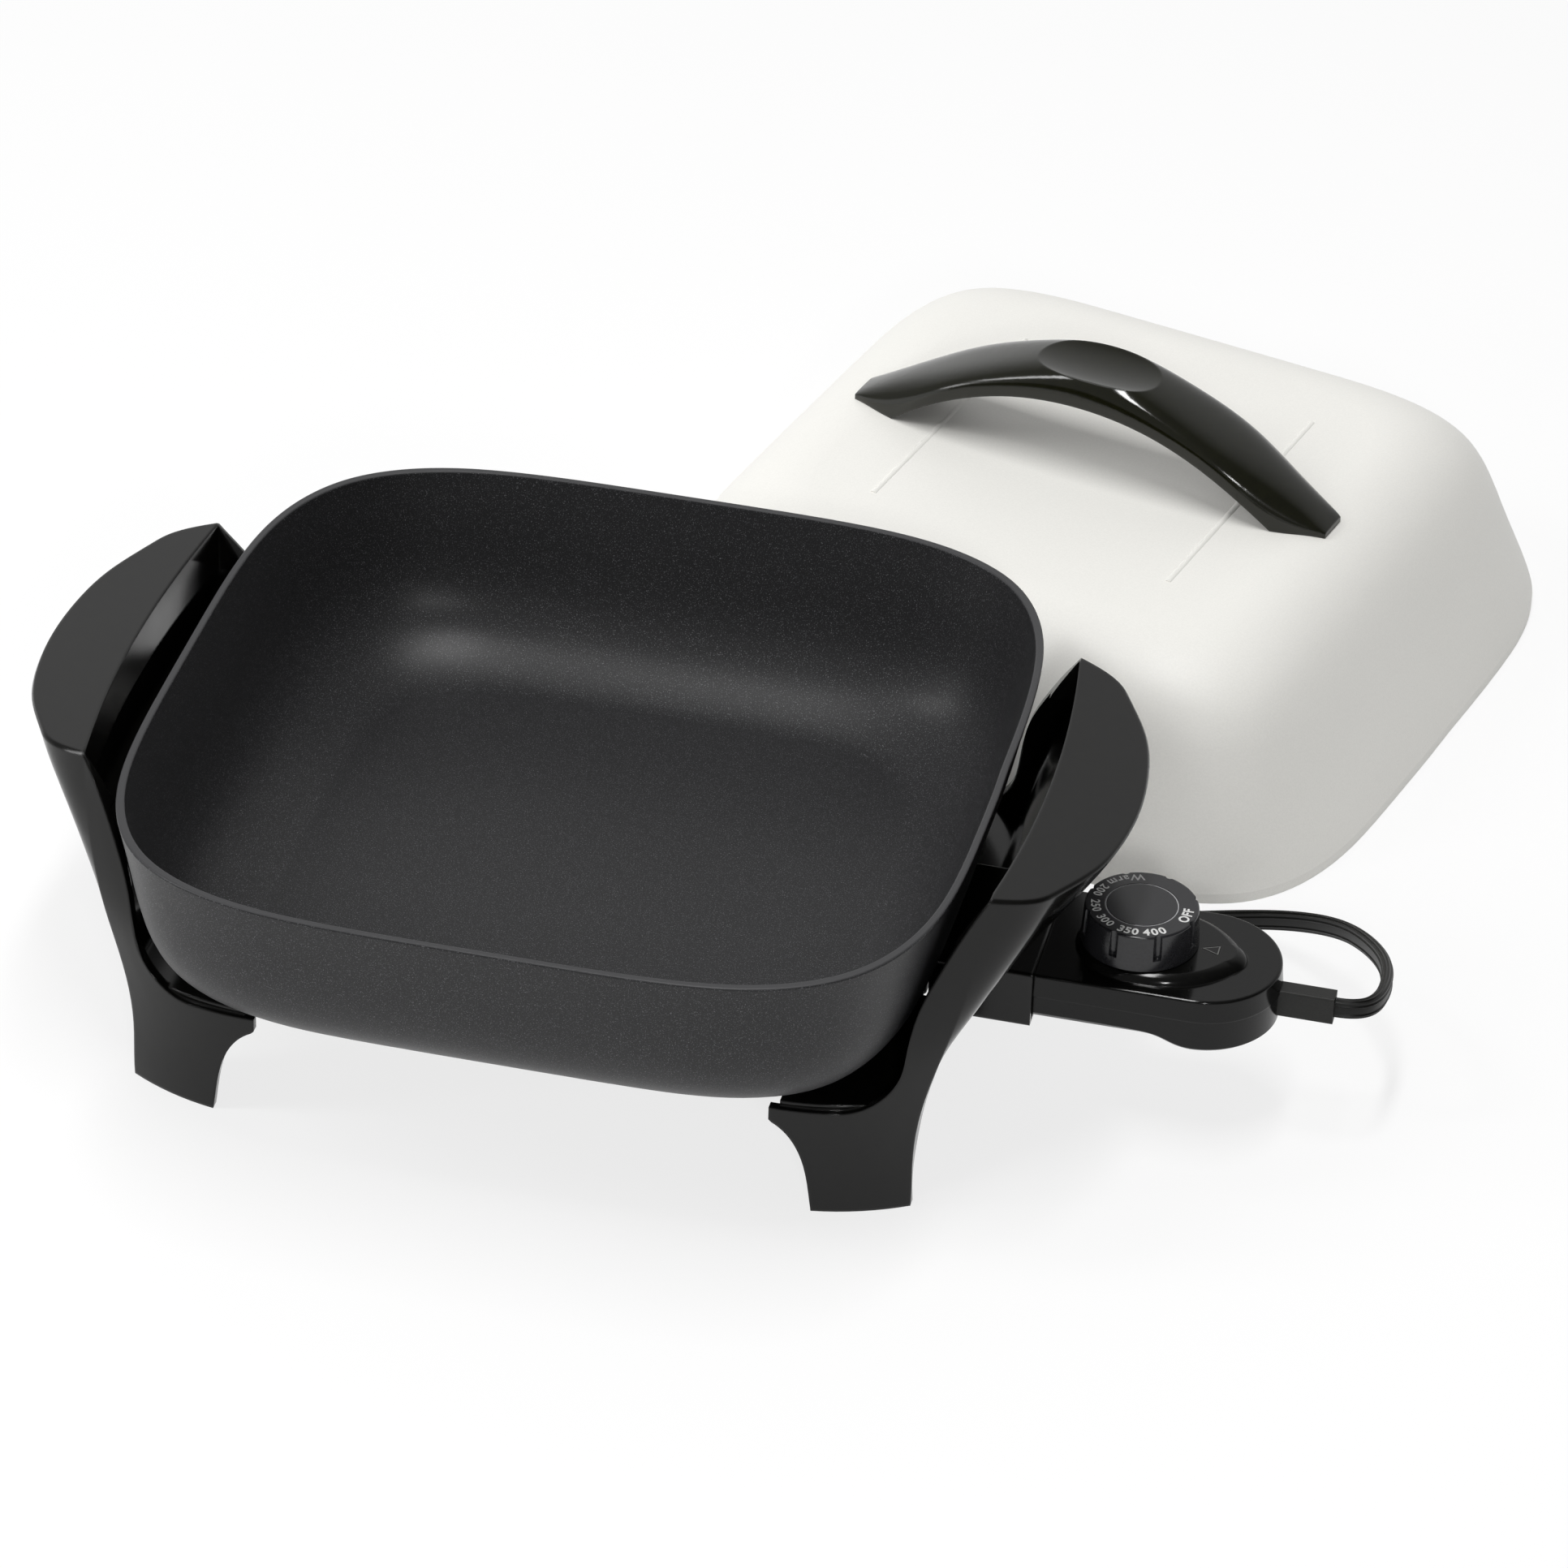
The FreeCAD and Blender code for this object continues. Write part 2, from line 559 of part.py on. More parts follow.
def make_base_screws():
    screws = []
    under = SHELF_TOP_Z - SHELF_THICKNESS
    for x, y in boss_places():
        shank = cylinder(SCREW_RADIUS, Vector(x, y, under - 1.0),
                         Vector(x, y, SHELF_TOP_Z + SCREW_BITE - 0.5))
        head = cylinder(SCREW_HEAD_RADIUS, Vector(x, y, under - SCREW_HEAD), Vector(x, y, under))
        rim = [e for e in head.Edges if e.BoundBox.ZMax < under - SCREW_HEAD + 0.1]
        head = head.makeChamfer(0.8, rim)
        screws.append(shank.fuse(head).removeSplitter())
    return Part.makeCompound(screws)


# ---------------------------------------------------------------- heat control
def control_outline(inset, z):
    """Plan: straight sides from the nose to a half-round end."""
    half = CONTROL_HALF_Y - inset
    x0 = NOSE_X + inset
    x1 = CONTROL_END_X
    return [
        Part.LineSegment(Vector(x0, half, z), Vector(x0, -half, z)).toShape(),
        Part.LineSegment(Vector(x0, -half, z), Vector(x1, -half, z)).toShape(),
        Part.Arc(Vector(x1, -half, z), Vector(x1 + half, 0, z), Vector(x1, half, z)).toShape(),
        Part.LineSegment(Vector(x1, half, z), Vector(x0, half, z)).toShape(),
    ]


def control_slab(low_inset, low_z, high_inset, high_z):
    low = Part.Wire(control_outline(low_inset, low_z))
    high = Part.Wire(control_outline(high_inset, high_z))
    return Part.makeLoft([low, high], True, True)


PARTING_Z = CONTROL_TOP_Z - PARTING_DROP
NECK_LOW_Z = CONTROL_TOP_Z - CONTROL_NECK
BELLY_LOW_Z = NECK_LOW_Z - CONTROL_BELLY


def belly_cut(raise_by):
    """Side view space under the neck, sweeping down to the belly of the round end."""
    neck_z = NECK_LOW_Z + raise_by
    belly_z = BELLY_LOW_Z + raise_by
    step_x = CONTROL_END_X - BELLY_START
    y = -FAR
    curve = Part.BezierCurve()
    curve.setPoles([Vector(step_x, y, neck_z), Vector(step_x + BELLY_STEP / 2, y, neck_z),
                    Vector(step_x + BELLY_STEP / 2, y, belly_z), Vector(step_x + BELLY_STEP, y, belly_z)])
    rest = Part.makePolygon([
        Vector(step_x + BELLY_STEP, y, belly_z), Vector(CONTROL_END_X + FAR, y, belly_z),
        Vector(CONTROL_END_X + FAR, y, -FAR), Vector(0, y, -FAR), Vector(0, y, neck_z),
        Vector(step_x, y, neck_z),
    ]).Edges
    return prism([curve.toShape()] + rest, Vector(0, 2 * FAR, 0))


def leaf_outline(inset, z):
    """Teardrop round the dial with its tip towards the cord."""
    half = DOME_HALF - inset
    tip_x = DIAL_X + DOME_LENGTH - inset
    shoulder = Vector(DIAL_X + 25.0 - 0.4 * inset, half * 0.75, z)
    near_tip = Vector(tip_x - 3.0, half * 0.3, z)
    right = curve_through([Vector(DIAL_X, half, z), shoulder, near_tip])
    left = curve_through([Vector(near_tip.x, -near_tip.y, z), Vector(shoulder.x, -shoulder.y, z),
                          Vector(DIAL_X, -half, z)])
    tip = Part.Arc(near_tip, Vector(tip_x, 0, z), Vector(near_tip.x, -near_tip.y, z)).toShape()
    back = Part.Arc(Vector(DIAL_X, -half, z), Vector(DIAL_X - half, 0, z), Vector(DIAL_X, half, z)).toShape()
    return Part.Wire([right, tip, left, back])


def dome(drop, inset):
    base = leaf_outline(inset, CONTROL_TOP_Z - 1.0)
    middle = leaf_outline(inset + 0.35 * DOME_SLOPE, CONTROL_TOP_Z + 0.55 * DOME_RISE - drop)
    top = leaf_outline(inset + DOME_SLOPE, CONTROL_TOP_Z + DOME_RISE - drop)
    return Part.makeLoft([base, middle, top], True)


def lens_prism(half, low_z, high_z):
    """Three-sided index lens that points at the dial."""
    x = DIAL_X + DIAL_RADIUS + 5.5
    points = [Vector(x - 1.3 * half, 0, low_z), Vector(x + half, -half, low_z), Vector(x + half, half, low_z)]
    return prism(polygon(points), Vector(0, 0, high_z - low_z))


def housing_screw_places():
    x0 = NOSE_X + NOSE_BLOCK + 9.0
    x1 = CONTROL_END_X + 9.0
    return [(x0, -19.5), (x0, 19.5), (x1, -14.0), (x1, 14.0)]


def strain_seat(fit):
    """The flat strain relief, from its root inside the housing to its free end."""
    x0 = CONTROL_END_X + CONTROL_HALF_Y - STRAIN_ROOT
    x1 = x0 + STRAIN_ROOT + STRAIN_LENGTH
    half_y = STRAIN_WIDTH / 2 + fit
    half_z = STRAIN_HEIGHT / 2 + fit
    return box(x0 - fit, x1, -half_y, half_y, CORD_Z - half_z, CORD_Z + half_z)


def nose_openings():
    cuts = []
    for side in (-1, 1):
        start = Vector(NOSE_X - 1, side * TERMINAL_Y, TERMINAL_Z)
        cuts.append(cylinder(PIN_RADIUS + PIN_CLEARANCE, start, start + Vector(NOSE_BORE_DEPTH + 1, 0, 0)))
    start = Vector(NOSE_X - 1, 0, TERMINAL_Z)
    end = Vector(NOSE_X + PROBE_ROOT + 1, 0, TERMINAL_Z)
    cuts.append(cylinder(PROBE_RADIUS + PROBE_CLEARANCE, start, end))
    return cuts


def make_upper_housing():
    shell = control_slab(0.0, PARTING_Z, CONTROL_DRAFT, CONTROL_TOP_Z)
    top_edges = [e for e in shell.Edges if e.BoundBox.ZMin > CONTROL_TOP_Z - 0.01]
    shell = shell.makeFillet(CONTROL_ROUND, top_edges)
    shell = shell.fuse(dome(0.0, 0.0)).removeSplitter()
    hollow = control_slab(CONTROL_WALL, PARTING_Z - 1, CONTROL_WALL + CONTROL_DRAFT,
                          CONTROL_TOP_Z - CONTROL_WALL)
    shell = shell.cut(hollow)
    posts = []
    for x, y in housing_screw_places():
        posts.append(cylinder(POST_RADIUS, Vector(x, y, PARTING_Z), Vector(x, y, CONTROL_TOP_Z - 1)))
    shell = shell.fuse(posts)
    cuts = nose_openings()
    cuts.append(cylinder(SHAFT_RADIUS + SHAFT_FIT, Vector(DIAL_X, 0, 0), Vector(DIAL_X, 0, FAR)))
    cuts.append(lens_prism(LENS_HALF + LENS_FIT, CONTROL_TOP_Z - 4, CONTROL_TOP_Z + 20))
    cuts.append(strain_seat(FACE_GAP))
    for x, y in housing_screw_places():
        low = Vector(x, y, PARTING_Z - 1)
        cuts.append(cylinder(CONTROL_SCREW + 0.1, low, Vector(x, y, CONTROL_TOP_Z - 2.5)))
    return shell.cut(cuts).removeSplitter()


def make_lower_housing():
    top_z = PARTING_Z - FACE_GAP
    shell = control_slab(CONTROL_DRAFT, BELLY_LOW_Z - 2, 0.4, top_z)
    shell = shell.cut(belly_cut(0.0))
    low_edges = []
    for edge in shell.Edges:
        if edge.BoundBox.ZMax < NECK_LOW_Z + 0.01 and edge.BoundBox.XMin > NOSE_X + 5:
            low_edges.append(edge)
    shell = shell.makeChamfer(BELLY_CHAMFER, low_edges)
    hollow = control_slab(CONTROL_WALL + CONTROL_DRAFT, BELLY_LOW_Z - 2, CONTROL_WALL + 0.4, top_z + 1)
    hollow = hollow.cut(belly_cut(CONTROL_WALL))
    shell = shell.cut(hollow)
    posts = []
    for x, y in housing_screw_places():
        low_z = BELLY_LOW_Z if x > CONTROL_END_X else NECK_LOW_Z
        posts.append(cylinder(POST_RADIUS, Vector(x, y, low_z), Vector(x, y, top_z)))
    shell = shell.fuse(posts)
    cuts = nose_openings()
    cuts.append(strain_seat(FACE_GAP))
    for x, y in housing_screw_places():
        low_z = BELLY_LOW_Z if x > CONTROL_END_X else NECK_LOW_Z
        cuts.append(cylinder(CONTROL_SCREW + 0.3, Vector(x, y, low_z - 1), Vector(x, y, top_z + 1)))
        low = Vector(x, y, low_z)
        cuts.append(cylinder(CONTROL_SCREW_HEAD + 0.2, low - Z_AXIS, low + Z_AXIS * HEAD_SINK))
    return shell.cut(cuts).removeSplitter()


def make_control_screws():
    screws = []
    for x, y in housing_screw_places():
        low_z = BELLY_LOW_Z if x > CONTROL_END_X else NECK_LOW_Z
        seat_z = low_z + HEAD_SINK
        head = cylinder(CONTROL_SCREW_HEAD, Vector(x, y, seat_z - 1.6), Vector(x, y, seat_z))
        shank = cylinder(CONTROL_SCREW, Vector(x, y, seat_z - 0.2), Vector(x, y, CONTROL_TOP_Z - 3.2))
        screws.append(head.fuse(shank).removeSplitter())
    return Part.makeCompound(screws)


def make_probe_rod():
    start = Vector(NOSE_X - PROBE_LENGTH, 0, TERMINAL_Z)
    rod = cylinder(PROBE_RADIUS, start, Vector(NOSE_X + PROBE_ROOT, 0, TERMINAL_Z))
    tip = [e for e in rod.Edges if e.BoundBox.XMax < start.x + 0.1]
    return rod.makeFillet(1.6, tip)


def nose_block_span():
    return NOSE_X + CONTROL_WALL + CONTROL_DRAFT + 0.3, NOSE_X + NOSE_BLOCK


def make_nose_insulator():
    x0, x1 = nose_block_span()
    half = CONTROL_HALF_Y - CONTROL_WALL - 2.5
    low_z = NECK_LOW_Z + CONTROL_WALL + 1.0
    high_z = CONTROL_TOP_Z - CONTROL_WALL - 0.3
    block = box(x0, x1, -half, half, low_z, high_z)
    cuts = []
    for side in (-1, 1):
        centre = Vector(x0 - 1, side * TERMINAL_Y, TERMINAL_Z)
        radius = PIN_RADIUS + RECEPTACLE_FIT + RECEPTACLE_WALL + FACE_GAP
        cuts.append(cylinder(radius, centre, centre + Vector(NOSE_BLOCK + 4, 0, 0)))
        cuts.append(box(x0 - 1, x1 + 1, side * 10 - 2.0, side * 10 + 2.0, high_z - 4.0, high_z + 1))
    cuts.append(cylinder(PROBE_RADIUS + FACE_GAP, Vector(x0 - 1, 0, TERMINAL_Z),
                         Vector(x1 + 1, 0, TERMINAL_Z)))
    return block.cut(cuts)


def make_receptacles():
    sleeves = []
    x0, x1 = nose_block_span()
    bore = PIN_RADIUS + RECEPTACLE_FIT
    for side in (-1, 1):
        start = Vector(x0, side * TERMINAL_Y, TERMINAL_Z)
        end = Vector(x1 + 2.0, side * TERMINAL_Y, TERMINAL_Z)
        sleeve = cylinder(bore + RECEPTACLE_WALL, start, end).cut(cylinder(bore, start, end))
        slit = box(x0 - 1, x0 + 12, start.y - 0.4, start.y + 0.4, TERMINAL_Z, TERMINAL_Z + 9)
        tail = box(x1 + 1.0, x1 + 5.0, start.y - 2.5, start.y + 2.5, TERMINAL_Z + bore - 0.1,
                   TERMINAL_Z + bore + RECEPTACLE_WALL)
        sleeves.append(sleeve.cut(slit).fuse(tail).removeSplitter())
    return Part.makeCompound(sleeves)


def make_thermostat_frame():
    """Stamped bracket behind the nose block that carries probe, blades and shaft."""
    x0 = NOSE_X + NOSE_BLOCK + 1.0
    x1 = DIAL_X + 12.0
    low_z = NECK_LOW_Z + CONTROL_WALL + 0.3
    floor = box(x0, x1, -8.0, 8.0, low_z, low_z + 1.2)
    wall = box(x0, x0 + 1.2, -8.0, 8.0, low_z, TERMINAL_Z + 6.0)
    frame = floor.fuse(wall).removeSplitter()
    cuts = [cylinder(SHAFT_RADIUS + SHAFT_FIT, Vector(DIAL_X, 0, low_z - 1), Vector(DIAL_X, 0, low_z + 3))]
    return frame.cut(cuts)


def make_bimetal_blade():
    """Two-layer strip from the bracket's wall towards the cam."""
    x0 = NOSE_X + NOSE_BLOCK + 2.2 + FACE_GAP
    z0 = TERMINAL_Z + 4.2
    return box(x0, DIAL_X - CAM_RADIUS - 1.5, -3.0, 3.0, z0, z0 + 0.9)


def make_contact_blades():
    """Pair of spring leaves with contact buttons, on the bracket's floor."""
    low_z = NECK_LOW_Z + CONTROL_WALL + 1.5
    x0 = NOSE_X + NOSE_BLOCK + 5.0
    foot = box(x0, x0 + 6.0, -6.0, 6.0, low_z + FACE_GAP, low_z + 1.0)
    leaf = box(x0 + 2.0, x0 + 22.0, -6.0, -1.0, low_z + 1.0, low_z + 1.5)
    button = cylinder(1.6, Vector(x0 + 20.0, -3.5, low_z + 1.4), Vector(x0 + 20.0, -3.5, low_z + 2.6))
    return foot.fuse([leaf, button]).removeSplitter()


def make_pilot_lamp():
    """Small neon bulb on its side under the lens."""
    x = DIAL_X + DIAL_RADIUS + 5.5
    z = CONTROL_TOP_Z - CONTROL_WALL - DIAL_GAP - LAMP_RADIUS
    body = cylinder(LAMP_RADIUS, Vector(x - 5, 0, z), Vector(x + 5, 0, z))
    ends = [e for e in body.Edges if e.BoundBox.XLength < 0.1]
    return body.makeChamfer(1.0, ends)


def make_pilot_lens():
    low_z = CONTROL_TOP_Z - CONTROL_WALL
    top_z = CONTROL_TOP_Z + DOME_RISE * 0.9 + LENS_PROUD
    return lens_prism(LENS_HALF, low_z, top_z)


def dial_bottom_z():
    return CONTROL_TOP_Z + DOME_RISE + DIAL_GAP


def make_dial_knob():
    z0 = dial_bottom_z()
    z1 = z0 + DIAL_HEIGHT
    centre = Vector(DIAL_X, 0, z0)
    knob = Part.makeCone(DIAL_RADIUS + DIAL_DRAFT, DIAL_RADIUS, DIAL_HEIGHT, centre, Z_AXIS)
    top = [e for e in knob.Edges if e.BoundBox.ZMin > z1 - 0.1]
    knob = knob.makeFillet(DIAL_ROUND, top)
    roof = centre + Vector(0, 0, DIAL_HEIGHT - DIAL_TOP_SKIN)
    cuts = [cylinder(DIAL_RADIUS - DIAL_SKIN, centre - Vector(0, 0, 1), roof)]
    for step in range(DIAL_FLUTES):
        angle = math.radians(FLUTE_PHASE + 360.0 * step / DIAL_FLUTES)
        reach = DIAL_RADIUS + 0.5 * DIAL_DRAFT
        place = Vector(DIAL_X + reach * math.cos(angle), reach * math.sin(angle), z0 + FLUTE_STOP)
        cuts.append(cylinder(FLUTE_RADIUS, place, place + Vector(0, 0, DIAL_HEIGHT)))
    ring_z = Vector(DIAL_X, 0, z1 - DIAL_RING_DEPTH)
    ring = cylinder(DIAL_RING_RADIUS, ring_z, ring_z + Vector(0, 0, 1))
    ring = ring.cut(cylinder(DIAL_RING_RADIUS - DIAL_RING_WIDTH, ring_z, ring_z + Vector(0, 0, 1)))
    cuts.append(ring)
    knob = knob.cut(cuts)
    hub = cylinder(SHAFT_RADIUS + DIAL_HUB_WALL, centre + Vector(0, 0, 0.6), roof + Vector(0, 0, 0.4))
    socket = cylinder(SHAFT_RADIUS + FACE_GAP, centre, centre + Vector(0, 0, DIAL_HEIGHT - 3.0))
    return knob.fuse(hub).cut(socket).removeSplitter()


def make_dial_shaft():
    """Shaft with its cam, from the bracket up into the dial."""
    low = Vector(DIAL_X, 0, NECK_LOW_Z + CONTROL_WALL + 0.3)
    high = Vector(DIAL_X, 0, dial_bottom_z() + DIAL_HEIGHT - 3.3)
    shaft = cylinder(SHAFT_RADIUS, low, high)
    cam_z = PARTING_Z + 0.6
    cam = cylinder(CAM_RADIUS, Vector(DIAL_X, 0, cam_z), Vector(DIAL_X, 0, cam_z + CAM_THICKNESS))
    return shaft.fuse(cam).removeSplitter()


def make_strain_relief():
    block = strain_seat(0.0)
    free_end = CONTROL_END_X + CONTROL_HALF_Y + STRAIN_LENGTH
    long_edges = [e for e in block.Edges if e.BoundBox.XLength > 5]
    block = block.makeFillet(STRAIN_ROUND, long_edges)
    root = Vector(free_end - STRAIN_LENGTH - STRAIN_ROOT - 1, 0, CORD_Z)
    bore = cylinder(STRAIN_BORE, root, Vector(free_end - STRAIN_END, 0, CORD_Z))
    return block.cut(bore)


# ---------------------------------------------------------------- cord and plug
def cord_route():
    """From the strain relief round its loop, down to the table and under the pan."""
    start = CONTROL_END_X + CONTROL_HALF_Y + STRAIN_LENGTH
    floor = CORD_RADIUS + 0.1
    return [
        Vector(start, 0, CORD_Z), Vector(start + 6.5, 0, CORD_Z), Vector(start + 13.3, 5.8, CORD_Z - 0.7),
        Vector(start + 14.8, 22.0, CORD_Z - 3.6), Vector(start + 11.7, 40.0, CORD_Z - 8.0),
        Vector(start + 3.2, 58.0, CORD_Z - 13.6), Vector(start - 8.6, 74.4, CORD_Z - 20.4),
        Vector(start - 26.0, 88.4, CORD_Z - 30.0), Vector(start - 48.0, 96.8, CORD_Z - 39.5),
        Vector(start - 71.0, 93.5, floor), Vector(start - 92.0, 78.6, floor),
        Vector(start - 113.0, 60.0, floor), Vector(start - 143.0, 49.0, floor),
        Vector(start - 179.0, 50.0, floor), Vector(start - 217.0, 56.0, floor),
        Vector(start - 255.0, 57.0, floor), Vector(start - 289.0, 54.0, floor),
        Vector(start - 312.0, 29.0, floor), Vector(start - 311.0, -5.0, floor),
        Vector(start - 287.0, -28.0, floor), Vector(start - 252.0, -28.0, floor),
        Vector(start - 219.0, -16.0, floor), Vector(start - 190.0, 2.0, PLUG_THICKNESS / 2),
    ]


def route_radii(points):
    """Arc at each inner point: 0.45 of its shorter run over the tangent of half the turn."""
    radii = []
    for index in range(1, len(points) - 1):
        arrive = points[index] - points[index - 1]
        leave = points[index + 1] - points[index]
        shorter = min(arrive.Length, leave.Length)
        radii.append(0.45 * shorter / math.tan(arrive.getAngle(leave) / 2))
    return radii


def make_cord():
    points = cord_route()
    radii = route_radii(points)
    cord = swept_tube(points, radii, CORD_RADIUS)
    print("cord radii", [round(radius, 1) for radius in radii])
    section = math.pi * CORD_RADIUS ** 2
    print("cord length", round(cord.Volume / section, 1))
    return cord


def plug_frame():
    """Where the cord ends, and the level directions along and across the plug."""
    route = cord_route()
    end = route[-1]
    along = end - route[-2]
    along.z = 0
    along.normalize()
    across = Vector(-along.y, along.x, 0)
    return end, along, across


def placed_on_plug(shape):
    """Turns a shape modelled along +X at the origin onto the plug's place."""
    end, along, across = plug_frame()
    moved = shape.copy()
    moved.rotate(Vector(0, 0, 0), Z_AXIS, math.degrees(math.atan2(along.y, along.x)))
    moved.translate(Vector(end.x, end.y, PLUG_THICKNESS / 2))
    return moved


def make_plug_body():
    half_y = PLUG_WIDTH / 2
    half_z = PLUG_THICKNESS / 2
    tail = Part.makeLoft([
        Part.Wire([Part.Circle(Vector(0, 0, 0), Vector(1, 0, 0), CORD_RADIUS + 0.7).toShape()]),
        Part.Wire([Part.Circle(Vector(12, 0, 0), Vector(1, 0, 0), half_z - 0.8).toShape()]),
    ], True)
    body = box(9, PLUG_LENGTH, -half_y, half_y, -half_z, half_z)
    body = body.makeFillet(PLUG_ROUND, body.Edges)
    face = box(PLUG_LENGTH - 4, PLUG_LENGTH, -half_y + 1.5, half_y - 1.5, -half_z + 1.5, half_z - 1.5)
    plug = joined([body, tail, face])
    slots = []
    for side in (-1, 1):
        y = side * BLADE_PITCH / 2
        slots.append(box(PLUG_LENGTH - 12, PLUG_LENGTH + 1, y - BLADE_THICKNESS / 2, y + BLADE_THICKNESS / 2,
                         -BLADE_WIDTH / 2, BLADE_WIDTH / 2))
    return placed_on_plug(plug.cut(slots))


def make_plug_blades():
    blades = []
    for side in (-1, 1):
        y = side * BLADE_PITCH / 2
        blade = box(PLUG_LENGTH - 12, PLUG_LENGTH + BLADE_LENGTH, y - BLADE_THICKNESS / 2,
                    y + BLADE_THICKNESS / 2, -BLADE_WIDTH / 2, BLADE_WIDTH / 2)
        tip = [e for e in blade.Edges if e.BoundBox.XMin > PLUG_LENGTH + BLADE_LENGTH - 0.1
               and e.BoundBox.YLength > 1]
        blades.append(placed_on_plug(blade.makeChamfer(1.2, tip) if tip else blade))
    return Part.makeCompound(blades)


# ---------------------------------------------------------------- lid
def placed_lid(shape):
    """Turns a shape modelled on the lid's own axes onto the lid's place."""
    moved = shape.copy()
    moved.rotate(Vector(0, 0, 0), Z_AXIS, LID_YAW)
    moved.translate(LID_CENTRE)
    return moved


def lid_form(inset, drop, extra_z):
    """Dome as a bowl turned over: flat top, shoulder, leaning wall and upright lip."""
    top_half = LID_HALF - LID_LEAN - inset
    top_z = LID_HEIGHT - drop
    radius = LID_SHOULDER - inset
    form = bowl(top_half, -top_z, LID_HALF - inset, -LID_LIP, radius, LID_TOP_EXPONENT, LID_RIM_EXPONENT)
    form = form.mirror(Vector(0, 0, 0), Z_AXIS)
    lip = Part.makeLoft([rounded_square(LID_HALF - inset, LID_RIM_EXPONENT, -extra_z),
                         rounded_square(LID_HALF - inset, LID_RIM_EXPONENT, LID_LIP)], True)
    return form.fuse(lip)


def make_lid_dome():
    outer = lid_form(0.0, 0.0, 0.0)
    inner = lid_form(LID_WALL, LID_WALL, 2.0)
    creases = []
    for side in (-1, 1):
        x = side * CREASE_X
        rib = cylinder(CREASE_WIDTH, Vector(x, -CREASE_HALF, LID_HEIGHT + CREASE_RISE - CREASE_WIDTH),
                       Vector(x, CREASE_HALF, LID_HEIGHT + CREASE_RISE - CREASE_WIDTH))
        creases.append(rib.common(box(-FAR, FAR, -FAR, FAR, LID_HEIGHT - 0.6, FAR)))
    dome_shell = outer.cut(inner).fuse(creases)
    holes = []
    for side in (-1, 1):
        low = Vector(side * HANDLE_SCREW_X, 0, 0)
        holes.append(cylinder(LID_SCREW_RADIUS + SCREW_CLEARANCE, low, low + Vector(0, 0, FAR)))
    return placed_lid(dome_shell.cut(holes).removeSplitter())


def handle_crown_z(x):
    """Top of the arch along its middle."""
    share = abs(x) / HANDLE_HALF
    return LID_HEIGHT + HANDLE_RISE - (HANDLE_RISE - HANDLE_TIP) * share ** HANDLE_CROWN_POWER


def handle_opening_radius():
    half = HANDLE_HALF - HANDLE_FOOT
    return (half ** 2 + HANDLE_OPENING ** 2) / (2 * HANDLE_OPENING)


def handle_ridge_z(x):
    """Ridge line on each long side, a strip's height over the opening."""
    radius = handle_opening_radius()
    reach = min(abs(x), HANDLE_HALF - HANDLE_FOOT)
    opening = LID_HEIGHT + HANDLE_OPENING - radius + math.sqrt(radius ** 2 - reach ** 2)
    beyond = max(0.0, abs(x) - (HANDLE_HALF - HANDLE_FOOT)) / HANDLE_FOOT
    return opening + HANDLE_STRIP - (HANDLE_STRIP - 0.6 * HANDLE_TIP) * beyond


def handle_section(x, inset, top_inset, low_z):
    """Cross section of the handle: flat foot, upright sides, crowned top."""
    ease = max(0.0, (abs(x) - HANDLE_TAPER) / (HANDLE_HALF - HANDLE_TAPER)) ** 2
    half = (HANDLE_WIDTH + (HANDLE_TIP_WIDTH - HANDLE_WIDTH) * ease) / 2 - inset
    ridge = max(handle_ridge_z(x) - inset, low_z + 0.5)
    crown = max(handle_crown_z(x) - top_inset, ridge + 0.5)
    n = HANDLE_SECTION_EXPONENT
    points = []
    for step in range(9):
        angle = math.pi * step / 8
        c = math.cos(angle)
        s = math.sin(angle)
        y = half * math.copysign(abs(c) ** (2 / n), c)
        points.append(Vector(x, y, ridge + (crown - ridge) * s ** (2 / n)))
    top = Part.BSplineCurve()
    top.interpolate(Points=points, Parameters=[step / 8 for step in range(9)])
    first = points[0]
    last = points[-1]
    sides = Part.makePolygon([last, Vector(x, -half, low_z), Vector(x, half, low_z), first]).Edges
    return Part.Wire([top.toShape()] + sides)


def handle_loft(inset, top_inset, reach, low_z):
    stations = (-1.0, -0.93, -0.82, -0.62, -0.33, 0.0, 0.33, 0.62, 0.82, 0.93, 1.0)
    return Part.makeLoft([handle_section(t * reach, inset, top_inset, low_z) for t in stations], True)


